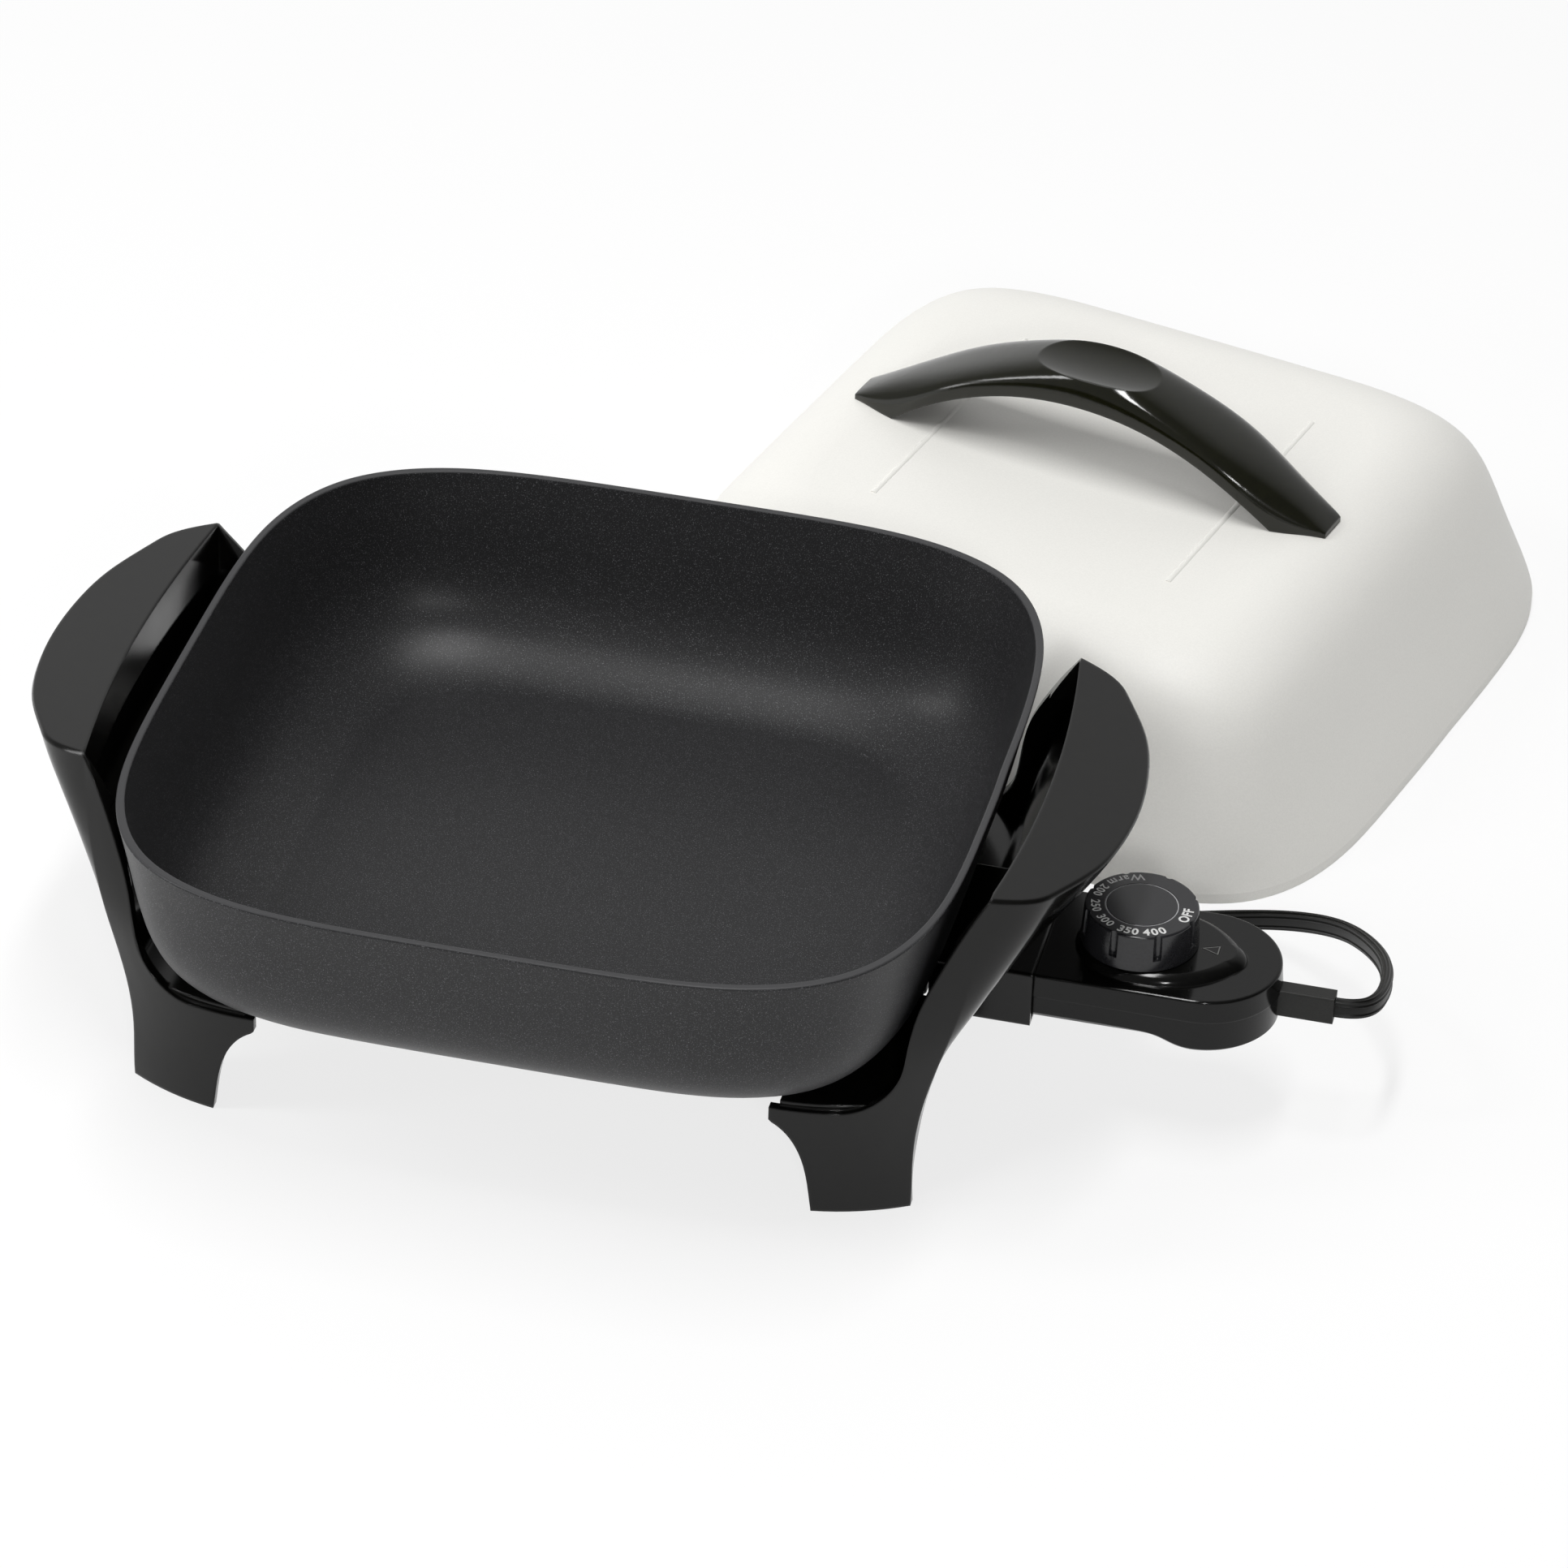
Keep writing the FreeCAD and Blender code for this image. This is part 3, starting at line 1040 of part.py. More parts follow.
def make_lid_handle():
    low_z = LID_HEIGHT - 4.0
    arch = handle_loft(0.0, 0.0, HANDLE_HALF, low_z)
    bosses = []
    for side in (-1, 1):
        low = Vector(side * HANDLE_SCREW_X, 0, low_z - 2)
        bosses.append(cylinder(HANDLE_BOSS_RADIUS, low, low + Vector(0, 0, 30.0)))
    channel = handle_loft(HANDLE_SKIN, HANDLE_TOP_SKIN, HANDLE_HALF - HANDLE_SKIN - 2.0, low_z - 1.0)
    arch = arch.cut(channel.cut(bosses))
    radius = handle_opening_radius()
    centre_z = LID_HEIGHT + HANDLE_OPENING - radius
    under = cylinder(radius, Vector(0, -FAR, centre_z), Vector(0, FAR, centre_z))
    arch = arch.cut(under)
    dimple = Part.makeSphere(1.0, Vector(0, 0, 0))
    scale = FreeCAD.Matrix()
    scale.scale(DIMPLE_LENGTH, DIMPLE_WIDTH, DIMPLE_DEPTH)
    dimple = dimple.transformGeometry(scale)
    dimple.translate(Vector(0, -1.0, LID_HEIGHT + HANDLE_RISE))
    arch = arch.cut(dimple)
    arch = arch.cut(lid_form(-HANDLE_GAP, -HANDLE_GAP, 2.0))
    holes = []
    for side in (-1, 1):
        low = Vector(side * HANDLE_SCREW_X, 0, 0)
        holes.append(cylinder(LID_SCREW_RADIUS + ELEMENT_FIT, low,
                              low + Vector(0, 0, LID_HEIGHT + LID_SCREW_BITE)))
    return placed_lid(arch.cut(holes).removeSplitter())


def washer_top_z():
    """Top of the washers, under the lid's top just inside its shoulder."""
    return LID_HEIGHT - LID_WALL - LID_WASHER_GAP


def make_lid_washers():
    rings = []
    for side in (-1, 1):
        top = Vector(side * HANDLE_SCREW_X, 0, washer_top_z())
        low = top - Vector(0, 0, LID_WASHER_THICKNESS)
        ring = cylinder(LID_WASHER_RADIUS, low, top)
        rings.append(placed_lid(ring.cut(cylinder(LID_SCREW_RADIUS + SCREW_CLEARANCE, low, top))))
    return Part.makeCompound(rings)


def make_lid_screws():
    screws = []
    for side in (-1, 1):
        seat = Vector(side * HANDLE_SCREW_X, 0, washer_top_z() - LID_WASHER_THICKNESS)
        head = cylinder(LID_SCREW_HEAD, seat - Vector(0, 0, LID_SCREW_HEAD_HEIGHT), seat)
        rim = [e for e in head.Edges if e.BoundBox.ZMax < seat.z - LID_SCREW_HEAD_HEIGHT + 0.1]
        shank = cylinder(LID_SCREW_RADIUS, seat - Vector(0, 0, 1),
                         Vector(seat.x, 0, LID_HEIGHT + LID_SCREW_BITE - 0.5))
        screws.append(placed_lid(head.makeChamfer(1.0, rim).fuse(shank).removeSplitter()))
    return Part.makeCompound(screws)


# ---------------------------------------------------------------- write
def main():
    os.makedirs("parts", exist_ok=True)
    left = make_moulding(False).mirror(Vector(0, 0, 0), Vector(1, 0, 0))
    nodes = {
        "pan": make_pan(),
        "heating_element": make_heating_element(),
        "terminal_pins": make_terminal_pins(),
        "terminal_insulators": make_terminal_insulators(),
        "left_handle_legs": left,
        "right_handle_legs": make_moulding(True),
        "base_screws": make_base_screws(),
        "lid_dome": make_lid_dome(),
        "lid_handle": make_lid_handle(),
        "lid_handle_screws": make_lid_screws(),
        "lid_handle_washers": make_lid_washers(),
        "control_upper_housing": make_upper_housing(),
        "control_lower_housing": make_lower_housing(),
        "control_screws": make_control_screws(),
        "probe_rod": make_probe_rod(),
        "nose_insulator": make_nose_insulator(),
        "contact_receptacles": make_receptacles(),
        "thermostat_frame": make_thermostat_frame(),
        "bimetal_blade": make_bimetal_blade(),
        "contact_blades": make_contact_blades(),
        "pilot_lamp": make_pilot_lamp(),
        "pilot_lens": make_pilot_lens(),
        "dial_knob": make_dial_knob(),
        "dial_shaft": make_dial_shaft(),
        "strain_relief": make_strain_relief(),
        "cord": make_cord(),
        "plug_body": make_plug_body(),
        "plug_blades": make_plug_blades(),
    }
    for name, shape in nodes.items():
        if not shape.isValid() or not shape.Solids:
            print("CHECK", name, "valid", shape.isValid(), "solids", len(shape.Solids))
        shape.exportStep(f"parts/{name}.step")


main()
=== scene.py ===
import bpy
import math
from mathutils import Matrix, Vector
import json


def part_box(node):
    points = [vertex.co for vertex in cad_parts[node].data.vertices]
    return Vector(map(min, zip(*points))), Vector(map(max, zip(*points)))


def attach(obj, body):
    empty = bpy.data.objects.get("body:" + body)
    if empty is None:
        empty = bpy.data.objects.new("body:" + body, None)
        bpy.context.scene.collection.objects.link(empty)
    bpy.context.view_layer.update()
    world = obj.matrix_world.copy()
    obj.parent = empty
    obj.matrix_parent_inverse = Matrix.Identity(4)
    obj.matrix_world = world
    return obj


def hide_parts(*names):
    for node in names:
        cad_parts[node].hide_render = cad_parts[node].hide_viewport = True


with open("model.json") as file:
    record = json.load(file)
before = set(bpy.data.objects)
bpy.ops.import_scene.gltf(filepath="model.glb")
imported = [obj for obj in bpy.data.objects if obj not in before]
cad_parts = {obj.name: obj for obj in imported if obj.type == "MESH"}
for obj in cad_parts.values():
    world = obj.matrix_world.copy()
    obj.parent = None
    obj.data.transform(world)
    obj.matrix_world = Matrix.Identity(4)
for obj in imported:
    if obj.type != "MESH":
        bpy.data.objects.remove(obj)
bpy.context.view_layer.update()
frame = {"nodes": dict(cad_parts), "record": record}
MM = 0.001


# ---------------------------------------------------------------- camera
AZIMUTH = math.radians(12.4051)
ELEVATION = math.radians(34.4882)
ROLL = math.radians(2.0284)
AIM = Vector((63.5949, 23.45, 85.12)) * MM
DISTANCE = 2364.5
FOCAL_PIXELS = 8459.086
PHOTO_PIXELS = 1932
SENSOR = 36.0


def make_camera():
    """The photograph's view: a long lens from the right and above, slightly rolled."""
    back = Vector((math.sin(AZIMUTH) * math.cos(ELEVATION),
                   -math.cos(AZIMUTH) * math.cos(ELEVATION), math.sin(ELEVATION)))
    right = Vector((math.cos(AZIMUTH), math.sin(AZIMUTH), 0))
    up = back.cross(right)
    rolled_right = right * math.cos(ROLL) + up * math.sin(ROLL)
    rolled_up = up * math.cos(ROLL) - right * math.sin(ROLL)
    data = bpy.data.cameras.new("camera")
    data.sensor_width = SENSOR
    data.lens = FOCAL_PIXELS / PHOTO_PIXELS * SENSOR
    data.clip_end = 20.0
    camera = bpy.data.objects.new("camera", data)
    matrix = Matrix((rolled_right, rolled_up, back)).transposed().to_4x4()
    matrix.translation = AIM + back * DISTANCE * MM
    camera.matrix_world = matrix
    bpy.context.scene.collection.objects.link(camera)
    bpy.context.scene.camera = camera


# ---------------------------------------------------------------- materials
RIM_GREY_HEIGHTS = (0.1171, 0.1174)     # metres over the floor: no grey, full grey
COATING = (0.019, 0.019, 0.02)
COATING_SPECKS = (0.2, 0.2, 0.21)
# lighter grey tone for a thin band on the pan rim's top
COATING_RIM_GREY = (0.045, 0.045, 0.047, 1)

FINISHES = {
    "element_steel": {"tone": (0.3, 0.28, 0.26), "rough": 0.45, "metallic": 1.0},
    "contact_metal": {"tone": (0.72, 0.58, 0.34), "rough": 0.3, "metallic": 1.0, "grain": 900.0},
    "ceramic_white": {"tone": (0.8, 0.78, 0.72), "rough": 0.6, "relief": 0.0001},
    "phenolic_black": {"tone": (0.0035, 0.0034, 0.003), "rough": 0.14, "specular": 0.32,
                       "grain": 260.0, "relief": 0.00001, "edge": 0.0014},
    "handle_olive": {"tone": (0.006, 0.0062, 0.002), "rough": 0.12,
                     "grain": 260.0, "relief": 0.00001, "edge": 0.0012},
    "screw_steel": {"tone": (0.6, 0.6, 0.58), "rough": 0.35, "metallic": 1.0, "grain": 1200.0},
    "lid_white": {"tone": (0.85, 0.84, 0.8), "rough": 0.46, "specular": 0.4, "grain": 1500.0,
                  "vary": 0.02, "rough_vary": 0.04, "relief": 0.00002},
    "control_black": {"tone": (0.0035, 0.0035, 0.0032), "rough": 0.15, "specular": 0.27,
                      "grain": 600.0, "relief": 0.00001, "edge": 0.0007},
    "probe_steel": {"tone": (0.62, 0.61, 0.59), "rough": 0.3, "metallic": 1.0,
                    "stretch": (1, 30, 30)},
    "insulator_tan": {"tone": (0.4, 0.31, 0.2), "rough": 0.6, "relief": 0.0001},
    "lamp_glass": {"tone": (0.75, 0.35, 0.2), "rough": 0.1},
    "lens_dark": {"tone": (0.002, 0.0018, 0.0018), "rough": 0.06, "specular": 0.3,
                  "rough_vary": 0.02},
    "dial_charcoal": {"tone": (0.017, 0.017, 0.019), "rough": 0.2, "grain": 900.0,
                      "relief": 0.00002, "edge": 0.0003},
    "rubber_black": {"tone": (0.016, 0.016, 0.0145), "rough": 0.5, "specular": 0.3,
                     "grain": 1400.0, "relief": 0.00004, "edge": 0.0004},
    "cord_black": {"tone": (0.004, 0.004, 0.0034), "rough": 0.4, "specular": 0.25,
                   "grain": 1200.0, "relief": 0.00002},
    "numeral_white": {"tone": (0.8, 0.8, 0.79), "rough": 0.5, "vary": 0.04},
    "ring_grey": {"tone": (0.42, 0.42, 0.43), "rough": 0.4, "vary": 0.1},
    "rim_grey": {"tone": (0.11, 0.11, 0.105), "rough": 0.3, "vary": 0.1},
}


def new_material(name):
    material = bpy.data.materials.new(name)
    material.use_nodes = True
    tree = material.node_tree
    shader = tree.nodes["Principled BSDF"]
    return material, tree, shader


def noise(tree, scale, detail=3.0, stretch=None):
    coords = tree.nodes.new("ShaderNodeTexCoord")
    texture = tree.nodes.new("ShaderNodeTexNoise")
    texture.inputs["Scale"].default_value = scale
    texture.inputs["Detail"].default_value = detail
    place = coords.outputs["Object"]
    if stretch:
        mapping = tree.nodes.new("ShaderNodeMapping")
        mapping.inputs["Scale"].default_value = stretch
        tree.links.new(place, mapping.inputs["Vector"])
        place = mapping.outputs["Vector"]
    tree.links.new(place, texture.inputs["Vector"])
    return texture.outputs["Fac"]


def spread(tree, source, low, high, start=0.3, end=0.7):
    """The source's start to end stretched over low to high, and held beyond them."""
    ranged = tree.nodes.new("ShaderNodeMapRange")
    ranged.inputs["From Min"].default_value = start
    ranged.inputs["From Max"].default_value = end
    ranged.inputs["To Min"].default_value = low
    ranged.inputs["To Max"].default_value = high
    tree.links.new(source, ranged.inputs["Value"])
    return ranged.outputs["Result"]


def two_tone(tree, source, first, second, start=0.35, end=0.65):
    ramp = tree.nodes.new("ShaderNodeValToRGB")
    for element, place, tone in zip(ramp.color_ramp.elements, (start, end), (first, second)):
        element.position = place
        element.color = (*tone, 1)
    tree.links.new(source, ramp.inputs["Fac"])
    return ramp.outputs["Color"]


def bump(tree, shader, source, strength, distance, edge=None):
    """Relief from the source, and corners shaded round by the edge radius where one is given."""
    node = tree.nodes.new("ShaderNodeBump")
    node.inputs["Strength"].default_value = strength
    node.inputs["Distance"].default_value = distance
    tree.links.new(source, node.inputs["Height"])
    if edge:
        rounding = tree.nodes.new("ShaderNodeBevel")
        rounding.samples = 6
        rounding.inputs["Radius"].default_value = edge
        tree.links.new(rounding.outputs["Normal"], node.inputs["Normal"])
    tree.links.new(node.outputs["Normal"], shader.inputs["Normal"])


def shade(tone, share):
    return tuple(min(1.0, channel * share) for channel in tone)


def finish_material(name, tone, rough, metallic=0.0, specular=0.5, grain=400.0, vary=0.12,
                    rough_vary=0.05, relief=0.0, stretch=None, edge=None):
    """Fine grain in the tone, wide clouds in the roughness, and the grain's relief."""
    material, tree, shader = new_material(name)
    shader.inputs["Metallic"].default_value = metallic
    shader.inputs["Specular IOR Level"].default_value = specular
    fine = noise(tree, grain, stretch=stretch)
    tree.links.new(two_tone(tree, fine, shade(tone, 1 - vary), shade(tone, 1 + vary)),
                   shader.inputs["Base Color"])
    cloud = noise(tree, 18.0)
    tree.links.new(spread(tree, cloud, rough - rough_vary, rough + rough_vary),
                   shader.inputs["Roughness"])
    if relief:
        bump(tree, shader, fine, 0.35, relief, edge)
    return material


def height_band(tree, low, high):
    """0 below the first height and 1 above the second, in metres."""
    coords = tree.nodes.new("ShaderNodeTexCoord")
    parts = tree.nodes.new("ShaderNodeSeparateXYZ")
    tree.links.new(coords.outputs["Object"], parts.inputs["Vector"])
    return spread(tree, parts.outputs["Z"], 0.0, 1.0, low, high)


def nonstick():
    """Satin black coating with fine light specks, and a lighter grey band along the rim's top."""
    material, tree, shader = new_material("nonstick_black")
    shader.inputs["Specular IOR Level"].default_value = 0.24
    fine = noise(tree, 2600.0, 2.0)
    speck = two_tone(tree, fine, COATING, COATING_SPECKS, 0.58, 0.82)
    mix = tree.nodes.new("ShaderNodeMix")
    mix.data_type = "RGBA"
    # the coating turns lighter grey in a thin band over the rim's top, by height
    mix.inputs["B"].default_value = COATING_RIM_GREY
    tree.links.new(height_band(tree, *RIM_GREY_HEIGHTS), mix.inputs["Factor"])
    tree.links.new(speck, mix.inputs["A"])
    tree.links.new(mix.outputs["Result"], shader.inputs["Base Color"])
    cloud = noise(tree, 9.0)
    tree.links.new(spread(tree, cloud, 0.36, 0.44), shader.inputs["Roughness"])
    bump(tree, shader, fine, 0.25, 0.00005)
    return material


MATERIALS = {"nonstick_black": nonstick()}
for title, finish in FINISHES.items():
    MATERIALS[title] = finish_material(title, **finish)


def dress_cad():
    """Every CAD node wears its record slot's material; the lid handle has an olive tint."""
    slots = {part["node"]: part["material_slot"] for part in frame["record"]["subparts"]}
    slots["lid_handle"] = "handle_olive"
    for name, piece in frame["nodes"].items():
        piece.data.materials.clear()
        piece.data.materials.append(MATERIALS[slots[name]])


# ---------------------------------------------------------------- mesh helper
def add_mesh(name, points, faces, body, material, smooth=False):
    mesh = bpy.data.meshes.new(name)
    mesh.from_pydata([tuple(p) for p in points], [], faces)
    mesh.validate()
    mesh.update()
    for polygon in mesh.polygons:
        polygon.use_smooth = smooth
    mesh.materials.append(MATERIALS[material])
    piece = bpy.data.objects.new(name, mesh)
    bpy.context.scene.collection.objects.link(piece)
    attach(piece, body)
    return piece


# ---------------------------------------------------------------- cord
CORD_WIDE = 7.6 * MM
CORD_THICK = 4.2 * MM
RIB_STEPS = 14
RIB_DEPTH = 0.3 * MM
RIB_CREASE = math.radians(24)
LOBE_ARC = 244                  # degrees of a lobe's outline outside the grooves
LOBES = ((1, -32), (-1, 148))   # up or down, and the degree where its outline starts
CORD_START = 263.0              # the strain relief's outer end, x in mm
CORD_ROUTE = [
    (0, 0, 46.4), (6.5, 0, 46.4), (13.3, 5.8, 45.7), (14.8, 22.0, 42.8), (11.7, 40.0, 38.4),
    (3.2, 58.0, 32.8), (-8.6, 74.4, 26.0), (-26.0, 88.4, 16.4), (-48.0, 96.8, 6.9),
    (-71.0, 93.5, 3.9), (-92.0, 78.6, 3.9), (-113.0, 60.0, 3.9), (-143.0, 49.0, 3.9),
    (-179.0, 50.0, 3.9), (-217.0, 56.0, 3.9), (-255.0, 57.0, 3.9), (-289.0, 54.0, 3.9),
    (-312.0, 29.0, 3.9), (-311.0, -5.0, 3.9), (-287.0, -28.0, 3.9), (-252.0, -28.0, 3.9),
    (-219.0, -16.0, 3.9), (-190.0, 2.0, 7.0),
]


def nurbs_path():
    """The route as a smooth spline, sampled where the flat cord's section is set."""
    curve = bpy.data.curves.new("cord_line", "CURVE")
    curve.dimensions = "3D"
    spline = curve.splines.new("NURBS")
    spline.points.add(len(CORD_ROUTE) - 1)
    for point, (x, y, z) in zip(spline.points, CORD_ROUTE):
        point.co = ((CORD_START + x) * MM, y * MM, z * MM, 1.0)
    spline.order_u = 3
    spline.use_endpoint_u = True
    curve.resolution_u = 12
    line = bpy.data.objects.new("cord_line", curve)
    bpy.context.scene.collection.objects.link(line)
    mesh = bpy.data.meshes.new_from_object(line)
    path = [vertex.co.copy() for vertex in mesh.vertices]
    bpy.data.objects.remove(line)
    return path


def cord_section():
    """Two ribbed round lobes, one over the other, with a groove between them on each side."""
    lobe = CORD_THICK / 2
    offset = CORD_WIDE / 2 - lobe
    section = []
    for upper, first in LOBES:
        for step in range(RIB_STEPS + 1):
            angle = math.radians(first + LOBE_ARC * step / RIB_STEPS)
            reach = lobe - (RIB_DEPTH if step % 2 else 0)
            section.append((reach * math.cos(angle), upper * offset + reach * math.sin(angle)))
    return section


def make_cord():
    path = nurbs_path()
    section = cord_section()
    points = []
    for index, place in enumerate(path):
        before = path[max(index - 1, 0)]
        after = path[min(index + 1, len(path) - 1)]
        along = (after - before).normalized()
        side = along.cross(Vector((0, 0, 1))).normalized()
        up = side.cross(along).normalized()
        points += [place + side * u + up * v for u, v in section]
    count = len(section)
    last = (len(path) - 1) * count
    faces = []
    for first in range(0, last, count):
        for step in range(count):
            following = (step + 1) % count
            faces.append((first + step, first + following,
                          first + count + following, first + count + step))
    faces.append(tuple(range(count - 1, -1, -1)))
    faces.append(tuple(range(last, last + count)))
    cord = add_mesh("flat_cord", points, faces, "heat_control", "cord_black", smooth=True)
    cord.data.set_sharp_from_angle(angle=RIB_CREASE)
    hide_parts("cord")


# ---------------------------------------------------------------- dial lettering
DIAL_CENTRE = Vector((194.5, 0, 0)) * MM    # the dial's axis on the floor
FONT_SIZE = 1.43                # at which a capital of the built-in font is about 1 high
LETTER_GAP = 0.4 * MM
PRINT_LIFT = 0.02 * MM          # the numerals, over the knob's highest face
RING_DROP = 0.12 * MM           # the ring line, under it
RING_RADII = (12.15, 12.55)
RING_STEPS = 96
BOLD = 0.14 * MM                # how far a stroke's outline is moved out
THIN = 0.09 * MM
LABELS = (
    # word, degrees, middle radius and height in mm, width's share, weight
    ("OFF", -8, 15.9, 3.5, 0.9, BOLD),
    ("400", -64, 16.0, 3.5, 0.95, BOLD),
    ("350", -96, 16.0, 3.4, 0.95, BOLD),
    ("300", -130, 15.9, 3.1, 1.0, THIN),
    ("250", -163, 15.8, 3.0, 1.0, THIN),
    ("200", 163, 15.9, 3.0, 1.0, THIN),
    ("Warm", 121, 16.0, 3.4, 0.95, THIN),
)


def glyph_mesh(letter, weight):
    data = bpy.data.curves.new("glyph", "FONT")
    data.body = letter
    data.size = FONT_SIZE
    data.offset = weight
    thing = bpy.data.objects.new("glyph", data)
    bpy.context.scene.collection.objects.link(thing)
    mesh = bpy.data.meshes.new_from_object(thing)
    bpy.data.objects.remove(thing)
    return mesh


def lay_word(points, faces, level, word, angle, radius, height, narrow, weight):
    """One word along the dial's edge, its feet outwards, read from outside."""
    scale = height * MM
    glyphs = []
    for letter in word:
        mesh = glyph_mesh(letter, weight / scale)
        xs = [v.co.x * scale * narrow for v in mesh.vertices]
        glyphs.append((mesh, min(xs), max(xs)))
    total = sum(high - low for _, low, high in glyphs) + LETTER_GAP * (len(word) - 1)
    cursor = -total / 2
    for mesh, low, high in glyphs:
        middle = cursor + (high - low) / 2
        turn = math.radians(angle) + middle / (radius * MM)
        place = Matrix.Translation(DIAL_CENTRE + Vector((0, 0, level)))
        place = place @ Matrix.Rotation(turn + math.pi / 2, 4, "Z")
        foot = -(radius + height / 2) * MM
        place = place @ Matrix.Translation(Vector((-(low + high) / 2, foot, 0)))
        first = len(points)
        for vertex in mesh.vertices:
            flat = Vector((vertex.co.x * scale * narrow, vertex.co.y * scale, 0))
            points.append(place @ flat)
        faces += [tuple(first + i for i in polygon.vertices) for polygon in mesh.polygons]
        cursor += high - low + LETTER_GAP


def make_numerals():
    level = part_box("dial_knob")[1][2] + PRINT_LIFT
    points, faces = [], []
    for label in LABELS:
        lay_word(points, faces, level, *label)
    numerals = add_mesh("dial_numerals", points, faces, "dial", "numeral_white")


def make_ring_line():
    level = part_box("dial_knob")[1][2] - RING_DROP
    points = []
    for step in range(RING_STEPS):
        angle = 2 * math.pi * step / RING_STEPS
        out = Vector((math.cos(angle), math.sin(angle), 0))
        points += [DIAL_CENTRE + out * radius * MM + Vector((0, 0, level)) for radius in RING_RADII]
    pairs = [(2 * step, 2 * ((step + 1) % RING_STEPS)) for step in range(RING_STEPS)]
    faces = [(a, a + 1, b + 1, b) for a, b in pairs]
    line = add_mesh("dial_ring_line", points, faces, "dial", "ring_grey")


# ---------------------------------------------------------------- index lens
LENS_LINE_LIFT = 0.01 * MM
LENS_LINE_INNER = 0.78          # the line's inner edge, as a share of the lens


def make_lens_rim():
    """A thin light line round the three-sided index lens."""
    low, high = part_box("pilot_lens")
    point_x, back_x = low[0], high[0]
    corners = [(point_x, 0.0), (back_x, high[1]), (back_x, low[1])]
    middle_x = (point_x + 2 * back_x) / 3
    level = high[2] + LENS_LINE_LIFT
    points = [(middle_x + (x - middle_x) * share, y * share, level)
              for share in (1.0, LENS_LINE_INNER) for x, y in corners]
    faces = [(i, (i + 1) % 3, 3 + (i + 1) % 3, 3 + i) for i in range(3)]
    rim = add_mesh("lens_rim", points, faces, "heat_control", "rim_grey")


# ---------------------------------------------------------------- floor and light
FLOOR_REACH = 6.0
FLOOR_TONE = (0.95, 0.95, 0.95, 1)
FLOOR_WHITE_SHARE = 0.78        # plain white mixed into the floor that direct rays see
SKY_LEFT, SKY_RIGHT = 0.36, 0.05
SKY_BEHIND = 0.6
LAMPS = (
    # name, place, aim, width, height, watts
    ("key", (-1.6, -0.6, 1.6), (0.05, 0.1, 0.05), 0.3, 1.2, 15),
    ("top", (0.0, -0.1, 2.2), (0.0, -0.05, 0.0), 0.22, 1.3, 27),
    ("front", (0.7, -2.0, 1.3), (0.15, 0.2, 0.05), 0.2, 0.2, 9),
    ("left_strip", (-1.7, -0.8, 0.42), (0.1, -0.05, 0.08), 0.2, 0.5, 4),
)


def direct_rays(tree):
    """1 for camera, glossy and transmission rays, and 0 for the rays that light the object."""
    rays = tree.nodes.new("ShaderNodeLightPath")
    total = rays.outputs["Is Camera Ray"]
    for kind in ("Is Glossy Ray", "Is Transmission Ray"):
        most = tree.nodes.new("ShaderNodeMath")
        most.operation = "MAXIMUM"
        tree.links.new(total, most.inputs[0])
        tree.links.new(rays.outputs[kind], most.inputs[1])
        total = most.outputs["Value"]
    return total


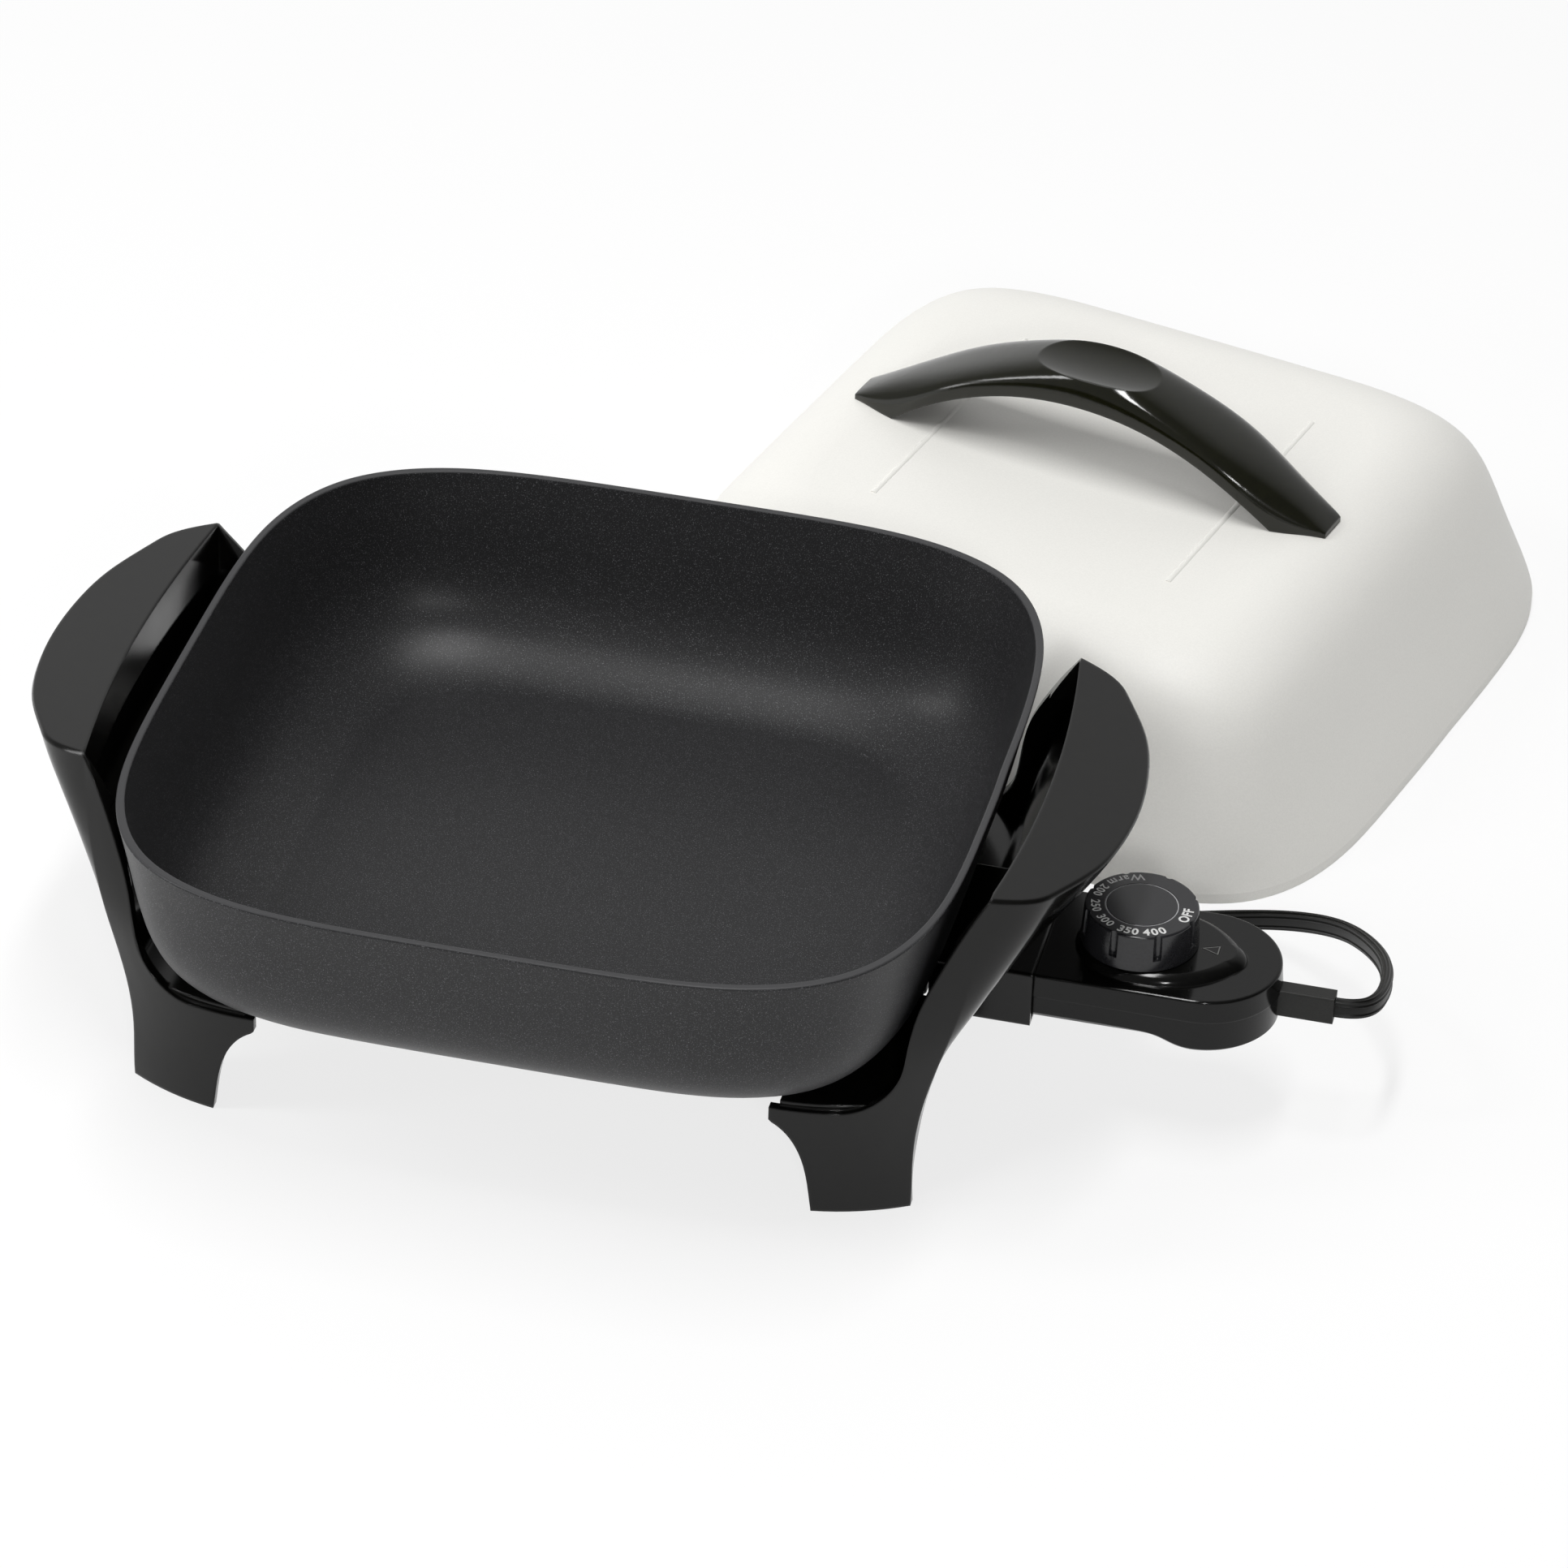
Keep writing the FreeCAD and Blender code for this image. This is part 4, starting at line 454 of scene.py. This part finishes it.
def make_stage():
    """A plain pale floor, nearly white to direct rays, that keeps a faint shadow."""
    material, tree, shader = new_material("floor_white")
    shader.inputs["Base Color"].default_value = FLOOR_TONE
    shader.inputs["Roughness"].default_value = 0.8
    shader.inputs["Specular IOR Level"].default_value = 0.1
    white = tree.nodes.new("ShaderNodeEmission")
    white.inputs["Strength"].default_value = 1.0
    lifted = tree.nodes.new("ShaderNodeMixShader")
    lifted.inputs["Fac"].default_value = FLOOR_WHITE_SHARE
    tree.links.new(shader.outputs["BSDF"], lifted.inputs[1])
    tree.links.new(white.outputs["Emission"], lifted.inputs[2])
    seen = tree.nodes.new("ShaderNodeMixShader")
    tree.links.new(direct_rays(tree), seen.inputs["Fac"])
    tree.links.new(shader.outputs["BSDF"], seen.inputs[1])
    tree.links.new(lifted.outputs["Shader"], seen.inputs[2])
    tree.links.new(seen.outputs["Shader"], tree.nodes["Material Output"].inputs["Surface"])
    mesh = bpy.data.meshes.new("floor")
    square = ((-1, -1), (1, -1), (1, 1), (-1, 1))
    corners = [(x * FLOOR_REACH, y * FLOOR_REACH, 0) for x, y in square]
    mesh.from_pydata(corners, [], [(0, 1, 2, 3)])
    floor = bpy.data.objects.new("floor", mesh)
    floor.data.materials.append(material)
    bpy.context.scene.collection.objects.link(floor)


def area_light(name, place, aim, width, height, power):
    data = bpy.data.lights.new(name, "AREA")
    data.shape = "RECTANGLE"
    data.size = width
    data.size_y = height
    data.energy = power
    lamp = bpy.data.objects.new(name, data)
    lamp.location = place
    lamp.rotation_euler = (Vector(aim) - Vector(place)).to_track_quat("-Z", "Y").to_euler()
    bpy.context.scene.collection.objects.link(lamp)


def make_lights():
    """Soft sky, brighter on the left and behind, with lamps left, above and in front."""
    world = bpy.data.worlds.new("studio")
    world.use_nodes = True
    tree = world.node_tree
    coords = tree.nodes.new("ShaderNodeTexCoord")
    parts = tree.nodes.new("ShaderNodeSeparateXYZ")
    tree.links.new(coords.outputs["Generated"], parts.inputs["Vector"])
    across = spread(tree, parts.outputs["X"], SKY_LEFT, SKY_RIGHT, -1.0, 1.0)
    behind = spread(tree, parts.outputs["Y"], 0.0, SKY_BEHIND, 0.2, 0.9)
    tone = tree.nodes.new("ShaderNodeMath")
    tree.links.new(across, tone.inputs[0])
    tree.links.new(behind, tone.inputs[1])
    tree.links.new(tone.outputs["Value"], tree.nodes["Background"].inputs["Strength"])
    tree.nodes["Background"].inputs["Color"].default_value = (1, 1, 1, 1)
    bpy.context.scene.world = world
    for lamp in LAMPS:
        area_light(*lamp)


# ---------------------------------------------------------------- finish
def write_sizes():
    import json


make_camera()
make_cord()
dress_cad()
make_numerals()
make_ring_line()
make_lens_rim()
make_stage()
make_lights()
bpy.context.scene.view_settings.view_transform = "Standard"
write_sizes()
